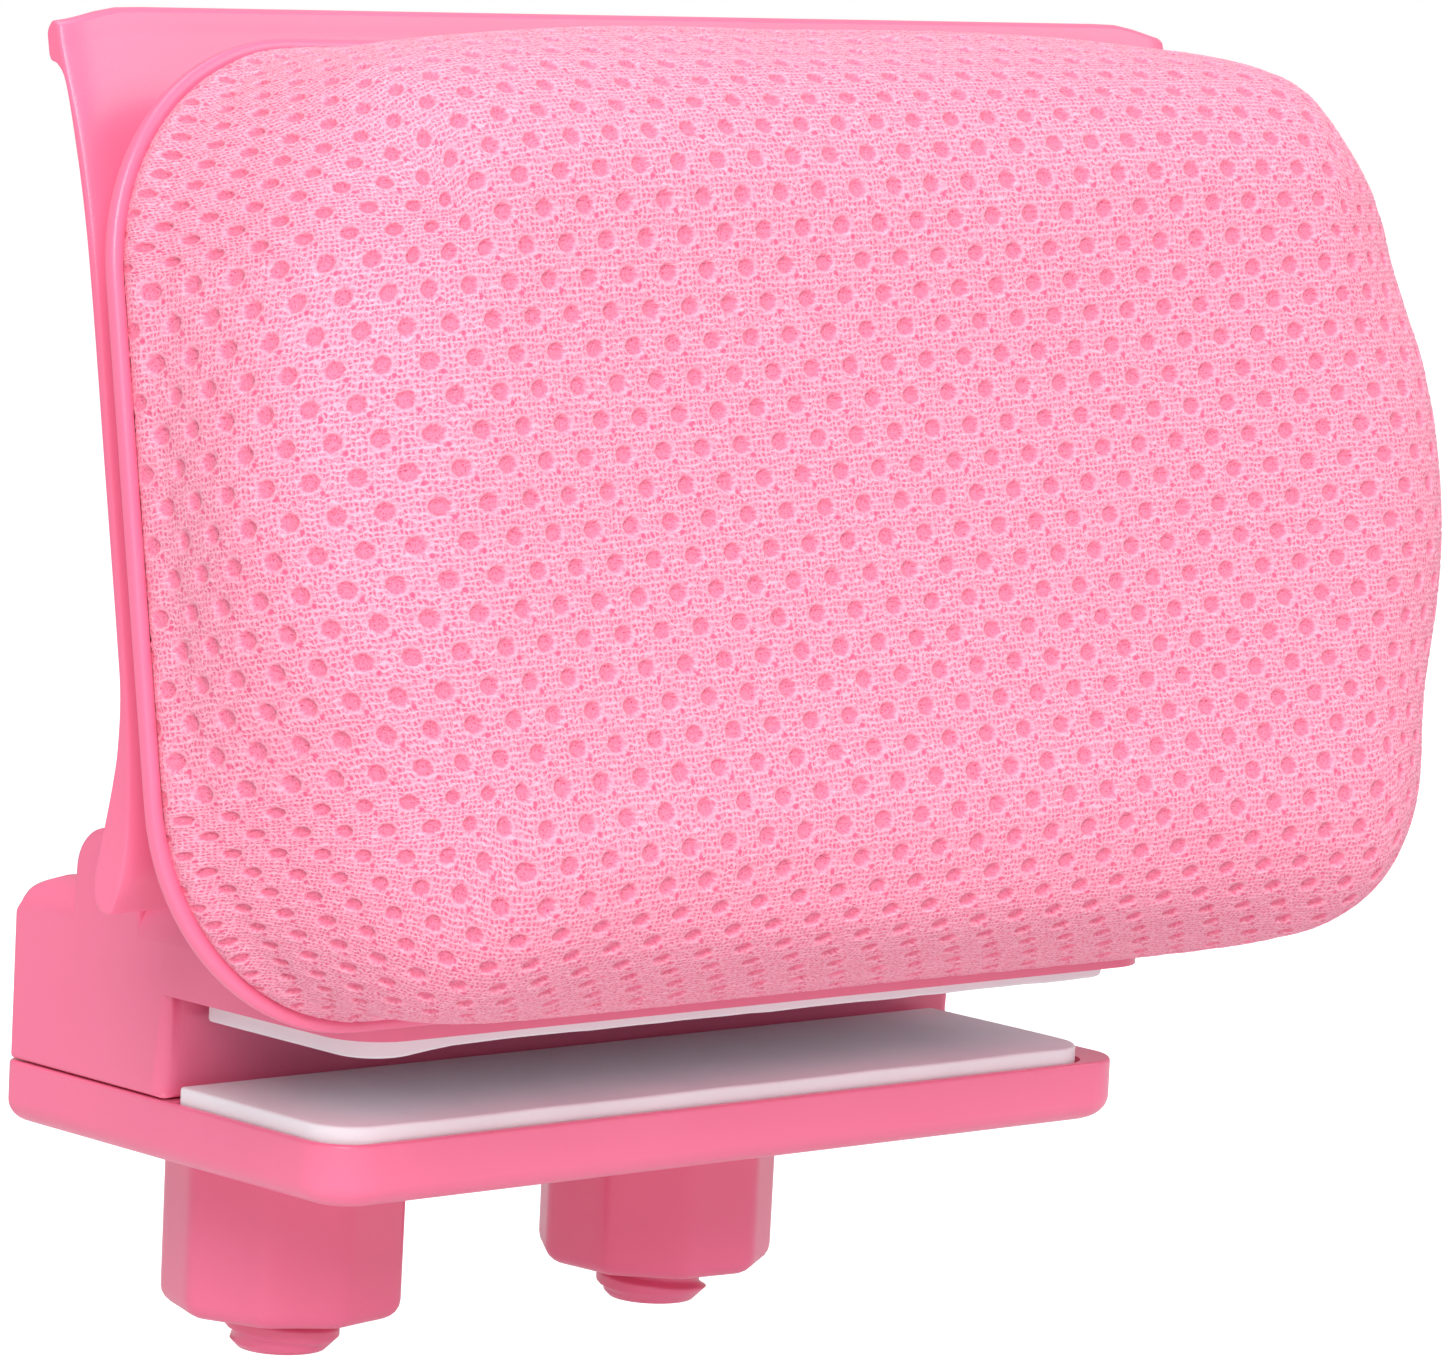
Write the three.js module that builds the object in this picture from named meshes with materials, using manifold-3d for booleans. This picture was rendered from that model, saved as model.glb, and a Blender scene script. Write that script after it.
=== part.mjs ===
// Clip-on chair headrest: a padded headrest that tilts on two hinge screws above a screw clamp.
// Millimetres, +Z up. X runs along the clamp's jaws, Y runs from the mouth of the clamp to its back.
// The origin is the middle of the throat face, where the edge of a chair back stops inside the clamp.

import * as THREE from 'three';
import { mergeVertices } from 'three/addons/utils/BufferGeometryUtils.js';
import Module from 'manifold-3d';

const wasm = await Module();
wasm.setup();

// ---------- driving dimensions ----------

const GAP = 0.3;                    // clearance between pieces that touch on the real object

const CLAMP_HALF = 86;              // half of the clamp's length along X
const THROAT_HALF = 8.4;            // half height of the open throat
const ARM_FRONT = -48.7;            // front of the upper jaw
const BODY_BACK = 40.8;
const BODY_TOP = 22.6;
const BODY_PLAN_R = 9;              // plan corners of the upper jaw, at its front
const BODY_REAR_R = 1.2;
const BODY_BACK_R = 9;              // rounding of the top rear edge
const BODY_TOP_R = 7;               // rounding of the top front edge

const JAW_TOP = -8.5;               // top of the lower jaw, closed against the body
const JAW_FRONT = -44;
const JAW_BACK = 42;
const JAW_WALL = 8.1;               // height of the jaw's upright edge
const JAW_BEVEL_DROP = 2.4;
const JAW_BEVEL_IN = 4.5;
const JAW_PLAN_R = 9;               // front corners of the lower jaw
const JAW_REAR_R = 4.8;

const PAD_LENGTH = 163;
const PAD_THICK = 3.3;
const PAD_R = 6.5;                  // front corners of a pad
const PAD_REAR_R = 1;
const PAD_POCKET = 1;               // depth of the pockets that hold the pads
const PAD_EDGE = 1.5;               // jaw left in front of a pad
const PAD_BACK = -4;                // the pads end short of the throat face
const LOWER_PAD_X = -3;             // the glued pads sit slightly off centre
const UPPER_PAD_X = 2;

const BOLT_X = 40.5;
const BOLT_Y = 24;
const BOLT_R = 9.6;
const BOLT_BORE_R = 10.2;
const BOLT_TIP = -57.5;
const BOLT_TIP_CHAMFER = 2;
const HEAD_ACROSS = 26;             // across the flats of the bolt's hexagon head
const HEAD_BOTTOM = 10.5;
const HEAD_HEIGHT = 8;

const KNOB_R = 20.6;
const KNOB_SIDES = 9;
const KNOB_TOP = -19.3;
const KNOB_BOTTOM = -51;
const KNOB_CHAMFER = 2;
const KNOB_EDGE_R = 2.5;
const KNOB_TURN = { left: 21.5, right: 5 };   // degrees that each knob happens to be turned
const WASHER_R = 14;
const WASHER_THICK = 1.2;

const HINGE_Y = 17.5;
const HINGE_Z = 25;
const HINGE_R = 7.5;                // outer radius of the ears and knuckles
const EAR_IN = 72;                  // inner face of each ear, from the middle
const KNUCKLE_OUT = 71;
const KNUCKLE_IN = 58;
const GROOVE_IN = 51.8;             // the body is hollowed under the knuckles and screw heads
const GROOVE_R = 8;
const SCREW_SHOULDER_R = 3;
const SCREW_THREAD_R = 2;
const SCREW_HEAD_R = 5.2;
const SCREW_HEAD_THICK = 3;
const SCREW_REACH = 8;              // length of thread inside the insert
const INSERT_R = 3.6;
const INSERT_BORE_R = 2.4;
const DISC_R = 6.4;                 // friction and spring washers

const LEAN = 10.5 * Math.PI / 180;  // the headrest leans back when folded forward
const PLATE_Y = -23.6;              // the plate's front face, where the leaning frame starts
const PLATE_Z = 95.55;
const PLATE_HALF = 118.4;
const PLATE_THICK = 2.4;
const BEAD_BACK = 6.6;              // centre of the rolled top edge, in the leaning frame
const BEAD_UP = 68;
const BEAD_R = 2.2;
const PLATE_TOP = 71;               // cut above the bead, rounded at the ends
const LEAF_THICK = 4;
const LEAF_BACK = 8;

const CUSHION_HALF = 126;
const CUSHION_TOP = 63;             // along the leaning plate, from the start of its frame
const CUSHION_BOTTOM = -88;
const CUSHION_R = 36;
const RIM_W = -13.7;                // rim of the shell, in front of the plate
const RIM_LIP = 2.2;                // thickness of the rim around the fabric
const RIM_HEIGHT = 2.5;
const DISH_INSIDE = -12.2;          // the dish that the cushion is pressed into
const DISH_BACK = -10;
const DISH_SLOPE = 14;              // the back of the dish slopes in from its rim by this much
const PEDESTAL_HALF = 104;          // raised middle of the shell that meets the plate
const PEDESTAL_RISE = 44;
const PEDESTAL_WALL = 4;
const BOSS_IN = 74;                 // the pedestal is hollow between its two screw bosses
const CUSHION_DEPTH = 46;
const CUSHION_EDGE = 17;            // rounding of the padded front
const COVER_THICK = 2.5;
const BOARD_THICK = 5;
const SHELL_SCREWS = [[-88, 22], [88, 22], [-88, -26], [88, -26]];
const SHELL_SCREW_R = 1.8;
const SHELL_SCREW_HEAD_R = 4;
const SHELL_SCREW_LENGTH = 19.5;

const PINK = { color: 0xf07ba8, roughness: 0.35, metalness: 0 };
const FOAM = { color: 0xece8ee, roughness: 0.9, metalness: 0 };
const MESH = { color: 0xf9a8c8, roughness: 0.85, metalness: 0 };
const CORE = { color: 0xd96a92, roughness: 0.95, metalness: 0 };
const STEEL = { color: 0xb8bcc2, roughness: 0.3, metalness: 1 };
const BRASS = { color: 0xc9a14a, roughness: 0.35, metalness: 1 };
const NYLON = { color: 0xf2f2f0, roughness: 0.5, metalness: 0 };
const BOARD = { color: 0x8f6f4a, roughness: 0.8, metalness: 0 };

// ---------- joining and cutting ----------

function toSolid(geometry) {
  const bare = geometry.clone();
  bare.deleteAttribute('normal');
  bare.deleteAttribute('uv');
  const merged = mergeVertices(bare, 1e-4);
  const mesh = new wasm.Mesh({
    numProp: 3,
    vertProperties: new Float32Array(merged.attributes.position.array),
    triVerts: new Uint32Array(merged.index.array),
  });
  return new wasm.Manifold(mesh);
}

function toGeometry(solid) {
  const mesh = solid.getMesh();
  const geometry = new THREE.BufferGeometry();
  geometry.setAttribute('position', new THREE.BufferAttribute(mesh.vertProperties, 3));
  geometry.setIndex(new THREE.BufferAttribute(mesh.triVerts, 1));
  geometry.computeVertexNormals();
  return geometry;
}

function join(...geometries) {
  return toGeometry(geometries.map(toSolid).reduce((whole, piece) => whole.add(piece)));
}

function cut(geometry, ...tools) {
  return toGeometry(tools.map(toSolid).reduce((left, tool) => left.subtract(tool), toSolid(geometry)));
}

function common(geometry, other) {
  return toGeometry(toSolid(geometry).intersect(toSolid(other)));
}

function part(name, geometry, finish) {
  const mesh = new THREE.Mesh(geometry, new THREE.MeshStandardMaterial(finish));
  mesh.name = name;
  return mesh;
}

// ---------- shapes ----------

function box(x0, x1, y0, y1, z0, z1) {
  const geometry = new THREE.BoxGeometry(x1 - x0, y1 - y0, z1 - z0);
  return geometry.translate((x0 + x1) / 2, (y0 + y1) / 2, (z0 + z1) / 2);
}

// A rounded rectangle, with its own radius at the low and the high corners of the second axis.
function roundedRect(x0, x1, y0, y1, lowR, highR = lowR) {
  const shape = new THREE.Shape();
  shape.moveTo(x0 + lowR, y0);
  shape.lineTo(x1 - lowR, y0);
  shape.absarc(x1 - lowR, y0 + lowR, lowR, -Math.PI / 2, 0, false);
  shape.absarc(x1 - highR, y1 - highR, highR, 0, Math.PI / 2, false);
  shape.absarc(x0 + highR, y1 - highR, highR, Math.PI / 2, Math.PI, false);
  shape.absarc(x0 + lowR, y0 + lowR, lowR, Math.PI, Math.PI * 1.5, false);
  return shape;
}

function extrudeZ(shape, z0, z1, segments = 6) {
  const depth = z1 - z0;
  const geometry = new THREE.ExtrudeGeometry(shape, { depth, bevelEnabled: false, curveSegments: segments });
  return geometry.translate(0, 0, z0);
}

// The shape's first axis becomes Y and its second becomes Z.
function extrudeX(shape, x0, x1, segments = 8) {
  const depth = x1 - x0;
  const geometry = new THREE.ExtrudeGeometry(shape, { depth, bevelEnabled: false, curveSegments: segments });
  const axes = new THREE.Matrix4().makeBasis(
    new THREE.Vector3(0, 1, 0), new THREE.Vector3(0, 0, 1), new THREE.Vector3(1, 0, 0));
  return geometry.applyMatrix4(axes).translate(x0, 0, 0);
}

// The shape's first axis becomes X and its second becomes Z; the extrusion runs from y1 down to y0.
function extrudeY(shape, y0, y1, bevel = null, segments = 6) {
  const bevelled = bevel
    ? { bevelEnabled: true, bevelThickness: bevel, bevelSize: bevel, bevelOffset: -bevel, bevelSegments: 4 }
    : { bevelEnabled: false };
  const depth = y1 - y0 - (bevel ? 2 * bevel : 0);
  const geometry = new THREE.ExtrudeGeometry(shape, { depth, curveSegments: segments, ...bevelled });
  return geometry.rotateX(Math.PI / 2).translate(0, y1 - (bevel ?? 0), 0);
}

function rodZ(radius, z0, z1, x = 0, y = 0, sides = 28) {
  const geometry = new THREE.CylinderGeometry(radius, radius, z1 - z0, sides);
  return geometry.rotateX(Math.PI / 2).translate(x, y, (z0 + z1) / 2);
}

function rodX(radius, x0, x1, y = HINGE_Y, z = HINGE_Z, sides = 24) {
  const geometry = new THREE.CylinderGeometry(radius, radius, Math.abs(x1 - x0), sides);
  return geometry.rotateZ(Math.PI / 2).translate((x0 + x1) / 2, y, z);
}

function rodY(radius, y0, y1, x, z, sides = 16) {
  return new THREE.CylinderGeometry(radius, radius, y1 - y0, sides).translate(x, (y0 + y1) / 2, z);
}

// ---------- clamp body ----------

function bodyProfile() {
  const bottom = JAW_TOP + GAP;
  const profile = new THREE.Shape();
  profile.moveTo(0, bottom);
  profile.lineTo(BODY_BACK, bottom);
  profile.lineTo(BODY_BACK, BODY_TOP - BODY_BACK_R);
  profile.absarc(BODY_BACK - BODY_BACK_R, BODY_TOP - BODY_BACK_R, BODY_BACK_R, 0, Math.PI / 2, false);
  profile.lineTo(ARM_FRONT + BODY_TOP_R, BODY_TOP);
  profile.absarc(ARM_FRONT + BODY_TOP_R, BODY_TOP - BODY_TOP_R, BODY_TOP_R, Math.PI / 2, Math.PI, false);
  profile.lineTo(ARM_FRONT, THROAT_HALF);
  profile.lineTo(0, THROAT_HALF);
  return profile;
}

function ear(side) {
  const profile = new THREE.Shape();
  profile.moveTo(HINGE_Y - HINGE_R - 2, BODY_TOP - 2);
  profile.lineTo(HINGE_Y + HINGE_R, BODY_TOP - 2);
  profile.lineTo(HINGE_Y + HINGE_R, HINGE_Z);
  profile.absarc(HINGE_Y, HINGE_Z, HINGE_R, 0, Math.PI * 0.9, false);
  const low = side > 0 ? EAR_IN : -CLAMP_HALF;
  const high = side > 0 ? CLAMP_HALF : -EAR_IN;
  return extrudeX(profile, low, high);
}

// Outline of a foam pad, grown by the given margin.
function padOutline(centre, margin) {
  const half = PAD_LENGTH / 2 + margin;
  const front = JAW_FRONT + PAD_EDGE - margin;
  return roundedRect(centre - half, centre + half, front, PAD_BACK + margin, PAD_R + margin, PAD_REAR_R);
}

function padPocket(centre, z0, z1) {
  return extrudeZ(padOutline(centre, GAP), z0, z1);
}

function clampBody() {
  const outline = roundedRect(-CLAMP_HALF, CLAMP_HALF, ARM_FRONT, BODY_BACK, BODY_PLAN_R, BODY_REAR_R);
  const plan = extrudeZ(outline, JAW_TOP - 1, BODY_TOP + 1);
  const block = common(extrudeX(bodyProfile(), -CLAMP_HALF, CLAMP_HALF), plan);
  const whole = join(block, ear(-1), ear(1));
  const cutters = [padPocket(UPPER_PAD_X, THROAT_HALF - 1, THROAT_HALF + PAD_POCKET)];
  for (const side of [-1, 1]) {
    const headR = (HEAD_ACROSS / 2 + GAP) / Math.cos(Math.PI / 6);
    const recess = rodZ(headR, HEAD_BOTTOM - GAP, BODY_TOP + 1, 0, 0, 6).rotateZ(Math.PI / 6);
    cutters.push(rodZ(BOLT_BORE_R, JAW_TOP - 1, HEAD_BOTTOM, side * BOLT_X, BOLT_Y));
    cutters.push(recess.translate(side * BOLT_X, BOLT_Y, 0));
    cutters.push(rodX(GROOVE_R, side * GROOVE_IN, side * (EAR_IN - 0.01)));
    cutters.push(rodX(INSERT_R + GAP, side * (EAR_IN - 1), side * (EAR_IN + SCREW_REACH + 2)));
  }
  return cut(whole, ...cutters);
}

function upperPad() {
  const top = THROAT_HALF + PAD_POCKET - GAP;
  return extrudeZ(padOutline(UPPER_PAD_X, 0), top - PAD_THICK, top);
}

function clampBolt() {
  const top = HEAD_BOTTOM + 1;
  const profile = [
    new THREE.Vector2(0, BOLT_TIP),
    new THREE.Vector2(BOLT_R - BOLT_TIP_CHAMFER, BOLT_TIP),
    new THREE.Vector2(BOLT_R, BOLT_TIP + BOLT_TIP_CHAMFER),
    new THREE.Vector2(BOLT_R, top),
    new THREE.Vector2(0, top),
  ];
  const shank = new THREE.LatheGeometry(profile, 28).rotateX(Math.PI / 2);
  const headR = HEAD_ACROSS / 2 / Math.cos(Math.PI / 6);
  const head = rodZ(headR, HEAD_BOTTOM, HEAD_BOTTOM + HEAD_HEIGHT, 0, 0, 6).rotateZ(Math.PI / 6);
  return join(shank, head);
}

// ---------- hinge hardware, on each side ----------

function hingeInsert(side) {
  const tube = rodX(INSERT_R, side * (EAR_IN + GAP), side * (EAR_IN + GAP + SCREW_REACH));
  return cut(tube, rodX(INSERT_BORE_R, side * EAR_IN, side * (EAR_IN + SCREW_REACH + 2)));
}

function hingeScrew(side) {
  const headFace = KNUCKLE_IN - 2;
  return join(
    rodX(SCREW_HEAD_R, side * (headFace - SCREW_HEAD_THICK), side * headFace),
    rodX(SCREW_SHOULDER_R, side * (headFace - 1), side * EAR_IN),
    rodX(SCREW_THREAD_R, side * (EAR_IN - 1), side * (EAR_IN + SCREW_REACH)));
}

function disc(inner, outer) {
  const low = Math.min(inner, outer);
  const high = Math.max(inner, outer);
  return cut(rodX(DISC_R, low, high), rodX(SCREW_SHOULDER_R + GAP, low - 1, high + 1));
}

const frictionWasher = (side) => disc(side * (KNUCKLE_OUT + GAP), side * (EAR_IN - GAP));
const springWasher = (side) => disc(side * (KNUCKLE_IN - 2 + GAP), side * (KNUCKLE_IN - GAP));

// ---------- lower jaw, its washers and the knobs ----------

function lowerJaw() {
  const inset = JAW_BEVEL_IN;
  const outline = roundedRect(-CLAMP_HALF + inset, CLAMP_HALF - inset, JAW_FRONT + inset, JAW_BACK - inset,
    JAW_PLAN_R - inset, JAW_REAR_R - inset);
  const bevelled = new THREE.ExtrudeGeometry(outline, {
    depth: JAW_WALL + JAW_BEVEL_DROP, bevelThickness: JAW_BEVEL_DROP, bevelSize: inset, bevelSegments: 1,
    curveSegments: 6,
  }).translate(0, 0, JAW_TOP - JAW_WALL);
  const above = box(-CLAMP_HALF - 1, CLAMP_HALF + 1, JAW_FRONT - 1, JAW_BACK + 1, JAW_TOP, JAW_TOP + 20);
  return cut(bevelled, above,
    padPocket(LOWER_PAD_X, JAW_TOP - PAD_POCKET, JAW_TOP + 1),
    rodZ(BOLT_BORE_R, JAW_TOP - 20, JAW_TOP + 1, -BOLT_X, BOLT_Y),
    rodZ(BOLT_BORE_R, JAW_TOP - 20, JAW_TOP + 1, BOLT_X, BOLT_Y));
}

function lowerPad() {
  const bottom = JAW_TOP - PAD_POCKET + GAP;
  return extrudeZ(padOutline(LOWER_PAD_X, 0), bottom, bottom + PAD_THICK);
}

function thrustWasher() {
  const ring = rodZ(WASHER_R, KNOB_TOP - WASHER_THICK, KNOB_TOP);
  return cut(ring, rodZ(BOLT_R + 2 * GAP, KNOB_TOP - 5, KNOB_TOP + 5));
}

function knobOutline(turn) {
  const outline = new THREE.Shape();
  const step = 2 * Math.PI / KNOB_SIDES;
  const corner = (index) => {
    const angle = turn * Math.PI / 180 + index * step;
    return new THREE.Vector2(Math.cos(angle), Math.sin(angle)).multiplyScalar(KNOB_R - KNOB_CHAMFER);
  };
  for (let index = 0; index < KNOB_SIDES; index++) {
    const here = corner(index);
    const before = here.clone().lerp(corner(index - 1), KNOB_EDGE_R / KNOB_R);
    const after = here.clone().lerp(corner(index + 1), KNOB_EDGE_R / KNOB_R);
    if (index === 0) outline.moveTo(before.x, before.y);
    else outline.lineTo(before.x, before.y);
    outline.quadraticCurveTo(here.x, here.y, after.x, after.y);
  }
  return outline;
}

function knob(turn) {
  const body = new THREE.ExtrudeGeometry(knobOutline(turn), {
    depth: KNOB_TOP - KNOB_BOTTOM - 2 * KNOB_CHAMFER, bevelThickness: KNOB_CHAMFER, bevelSize: KNOB_CHAMFER,
    bevelSegments: 2, curveSegments: 2,
  }).translate(0, 0, KNOB_BOTTOM + KNOB_CHAMFER);
  return cut(body,
    rodZ(BOLT_R + GAP, KNOB_BOTTOM - 1, KNOB_TOP + 1),
    rodZ(WASHER_R + GAP, KNOB_TOP - WASHER_THICK - GAP, KNOB_TOP + 1));
}

// ---------- headrest back plate ----------

// Section of the leaning sheet: back is the first axis, up the plate is the second.
// The top rolls back into a bead, and the foot sweeps back towards the hinge.
function sheetProfile() {
  const profile = new THREE.Shape();
  profile.moveTo(8.8, -67.7);
  profile.splineThru([
    new THREE.Vector2(4.9, -62.3), new THREE.Vector2(2.5, -56.4),
    new THREE.Vector2(1, -48), new THREE.Vector2(0, -34),
  ]);
  profile.lineTo(0, 28);
  profile.splineThru([new THREE.Vector2(1.4, 50), new THREE.Vector2(4.7, 66.8)]);
  profile.absarc(BEAD_BACK, BEAD_UP, BEAD_R, Math.PI * 0.83, 0, true);
  profile.lineTo(8.7, 64.2);
  profile.quadraticCurveTo(5, 63.4, 4, 54);
  profile.lineTo(PLATE_THICK, 28);
  profile.lineTo(PLATE_THICK, -34);
  profile.splineThru([
    new THREE.Vector2(4.4, -42.8), new THREE.Vector2(8.2, -52.4), new THREE.Vector2(12.4, -61.6),
  ]);
  profile.lineTo(12.6, -65.6);
  return profile;
}

// Front view of the plate: softened top corners and a bottom edge that arches up to the middle.
function plateOutline() {
  const outline = new THREE.Shape();
  const shoulder = 10;
  outline.moveTo(-PLATE_HALF, -72);
  outline.quadraticCurveTo(0, -63, PLATE_HALF, -72);
  outline.lineTo(PLATE_HALF, PLATE_TOP - 5);
  outline.quadraticCurveTo(PLATE_HALF, PLATE_TOP - 2.5, PLATE_HALF - shoulder / 2, PLATE_TOP - 1.2);
  outline.quadraticCurveTo(PLATE_HALF - shoulder, PLATE_TOP, PLATE_HALF - 1.6 * shoulder, PLATE_TOP);
  outline.lineTo(-PLATE_HALF + 1.6 * shoulder, PLATE_TOP);
  outline.quadraticCurveTo(-PLATE_HALF + shoulder, PLATE_TOP, -PLATE_HALF + shoulder / 2, PLATE_TOP - 1.2);
  outline.quadraticCurveTo(-PLATE_HALF, PLATE_TOP - 2.5, -PLATE_HALF, PLATE_TOP - 5);
  return outline;
}

function leaning(geometry) {
  return geometry.rotateX(-LEAN).translate(0, PLATE_Y, PLATE_Z);
}

function hingeLeaf() {
  const top = HINGE_Z + HINGE_R;
  const leaf = extrudeX(roundedRect(-26, LEAF_BACK, top - LEAF_THICK, top, 1), -KNUCKLE_OUT, KNUCKLE_OUT, 2);
  const arms = [-1, 1].map((side) => {
    const low = side > 0 ? KNUCKLE_IN : -KNUCKLE_OUT;
    const high = side > 0 ? KNUCKLE_OUT : -KNUCKLE_IN;
    const arm = box(low, high, -14, HINGE_Y, BODY_TOP + 1.6, top);
    return join(arm, rodX(HINGE_R, low, high));
  });
  return join(leaf, ...arms);
}

function backPlate() {
  const front = extrudeY(plateOutline(), -5, 30, null, 5);
  const sheet = common(extrudeX(sheetProfile(), -PLATE_HALF, PLATE_HALF, 6), front);
  const bores = [-1, 1].map((side) =>
    rodX(SCREW_SHOULDER_R + GAP, side * (KNUCKLE_IN - 1), side * (KNUCKLE_OUT + 1)));
  const screwHoles = SHELL_SCREWS.map(([x, up]) => leaning(rodY(SHELL_SCREW_R + GAP, -2, 6, x, up)));
  return cut(join(leaning(sheet), hingeLeaf()), ...bores, ...screwHoles);
}

// ---------- cushion, built in the leaning frame ----------

const WIDE = 200;                   // half size of a cutter that reaches past the whole cushion

// Outline of the cushion, drawn in by the given margin.
function cushionOutline(margin) {
  const half = CUSHION_HALF - margin;
  return roundedRect(-half, half, CUSHION_BOTTOM + margin, CUSHION_TOP - margin, CUSHION_R - margin / 2);
}

// The shell is a shallow dish with an upright rim, standing on a hollow pedestal.
function cushionShell() {
  const dish = new THREE.ExtrudeGeometry(cushionOutline(DISH_SLOPE), {
    depth: RIM_HEIGHT, bevelThickness: DISH_BACK - RIM_W - RIM_HEIGHT, bevelSize: DISH_SLOPE,
    bevelSegments: 1, curveSegments: 8,
  }).rotateX(Math.PI / 2).translate(0, RIM_W + RIM_HEIGHT, 0);
  const pedestal = extrudeY(roundedRect(-PEDESTAL_HALF, PEDESTAL_HALF, -PEDESTAL_RISE, PEDESTAL_RISE, 12),
    DISH_BACK - 1, -GAP);
  const hollow = PEDESTAL_RISE - PEDESTAL_WALL;
  const pocket = extrudeY(roundedRect(-BOSS_IN, BOSS_IN, -hollow, hollow, 8), DISH_BACK, 1);
  const inside = extrudeY(cushionOutline(RIM_LIP), RIM_W - 10, DISH_INSIDE);
  const front = box(-WIDE, WIDE, RIM_W - 60, RIM_W, -WIDE, WIDE);
  const holes = SHELL_SCREWS.map(([x, up]) => rodY(SHELL_SCREW_R + GAP, RIM_W, 2, x, up));
  return cut(join(dish, pedestal), front, inside, pocket, ...holes);
}

// A padded block: flat at the back, rounded along its front edge.
function cushionBlock(margin, front, back, edge) {
  const block = extrudeY(cushionOutline(margin), front, back + 2 * edge, edge, 7);
  return cut(block, box(-WIDE, WIDE, back, back + WIDE, -WIDE, WIDE));
}

const COVER_MARGIN = RIM_LIP + GAP;
const COVER_FRONT = RIM_W - CUSHION_DEPTH;
const COVER_BACK = DISH_INSIDE - GAP;
const INNER_MARGIN = COVER_MARGIN + COVER_THICK + GAP;

function meshCover() {
  const outside = cushionBlock(COVER_MARGIN, COVER_FRONT, COVER_BACK, CUSHION_EDGE);
  const inside = cushionBlock(COVER_MARGIN + COVER_THICK, COVER_FRONT + COVER_THICK, COVER_BACK + 1,
    CUSHION_EDGE - COVER_THICK);
  return cut(outside, inside);
}

function foamCore() {
  const front = COVER_FRONT + COVER_THICK + GAP;
  return cushionBlock(INNER_MARGIN, front, COVER_BACK - BOARD_THICK - GAP, CUSHION_EDGE - COVER_THICK - GAP);
}

function cushionBoard() {
  const front = COVER_BACK - BOARD_THICK;
  const holes = SHELL_SCREWS.map(([x, up]) => rodY(SHELL_SCREW_R + GAP, front - 1, 1, x, up));
  return cut(extrudeY(cushionOutline(INNER_MARGIN), front, COVER_BACK), ...holes);
}

function shellScrew([x, up]) {
  const headFace = PLATE_THICK + GAP;
  return join(
    rodY(SHELL_SCREW_HEAD_R, headFace, headFace + 2, x, up),
    rodY(SHELL_SCREW_R, headFace - SHELL_SCREW_LENGTH, headFace + 1, x, up));
}

// ---------- assembly ----------

const SIDES = { left: -1, right: 1 };

function clampGroup() {
  const group = new THREE.Group();
  group.add(part('clamp_body', clampBody(), PINK), part('upper_pad', upperPad(), FOAM));
  for (const [name, side] of Object.entries(SIDES)) {
    const bolt = part(`clamp_bolt_${name}`, clampBolt(), PINK);
    bolt.position.set(side * BOLT_X, BOLT_Y, 0);
    group.add(
      bolt,
      part(`hinge_insert_${name}`, hingeInsert(side), BRASS),
      part(`hinge_screw_${name}`, hingeScrew(side), STEEL),
      part(`friction_washer_${name}`, frictionWasher(side), NYLON),
      part(`spring_washer_${name}`, springWasher(side), STEEL));
  }
  return group;
}

function jawGroup() {
  const group = new THREE.Group();
  group.add(part('lower_jaw', lowerJaw(), PINK), part('lower_pad', lowerPad(), FOAM));
  for (const [name, side] of Object.entries(SIDES)) {
    const screwLine = new THREE.Group();
    screwLine.position.set(side * BOLT_X, BOLT_Y, 0);
    screwLine.add(
      part(`thrust_washer_${name}`, thrustWasher(), NYLON),
      part(`knob_${name}`, knob(KNOB_TURN[name]), PINK));
    group.add(screwLine);
  }
  return group;
}

function headrestGroup() {
  const group = new THREE.Group();
  const cushion = new THREE.Group();
  cushion.position.set(0, PLATE_Y, PLATE_Z);
  cushion.rotation.x = -LEAN;
  cushion.add(
    part('cushion_shell', cushionShell(), PINK),
    part('cushion_board', cushionBoard(), BOARD),
    part('foam_core', foamCore(), CORE),
    part('mesh_cover', meshCover(), MESH));
  SHELL_SCREWS.forEach((place, index) => {
    cushion.add(part(`shell_screw_${index + 1}`, shellScrew(place), STEEL));
  });
  group.add(part('back_plate', backPlate(), PINK), cushion);
  return group;
}

const headrest = new THREE.Group();
headrest.add(clampGroup(), jawGroup(), headrestGroup());

export default headrest;
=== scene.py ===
# %% [markdown]
# # A clip-on chair headrest, built in cells
# The object is a soft headrest on a hinged pink plate, held on a chair by a screw clamp with two knobs.
# Each cell makes one piece or one finish around the fixed CAD frame, which says where every piece goes.

# %% Load the frame
import math

import bmesh
import bpy
import numpy as np
from mathutils import Matrix, Vector
from mathutils.bvhtree import BVHTree


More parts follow.
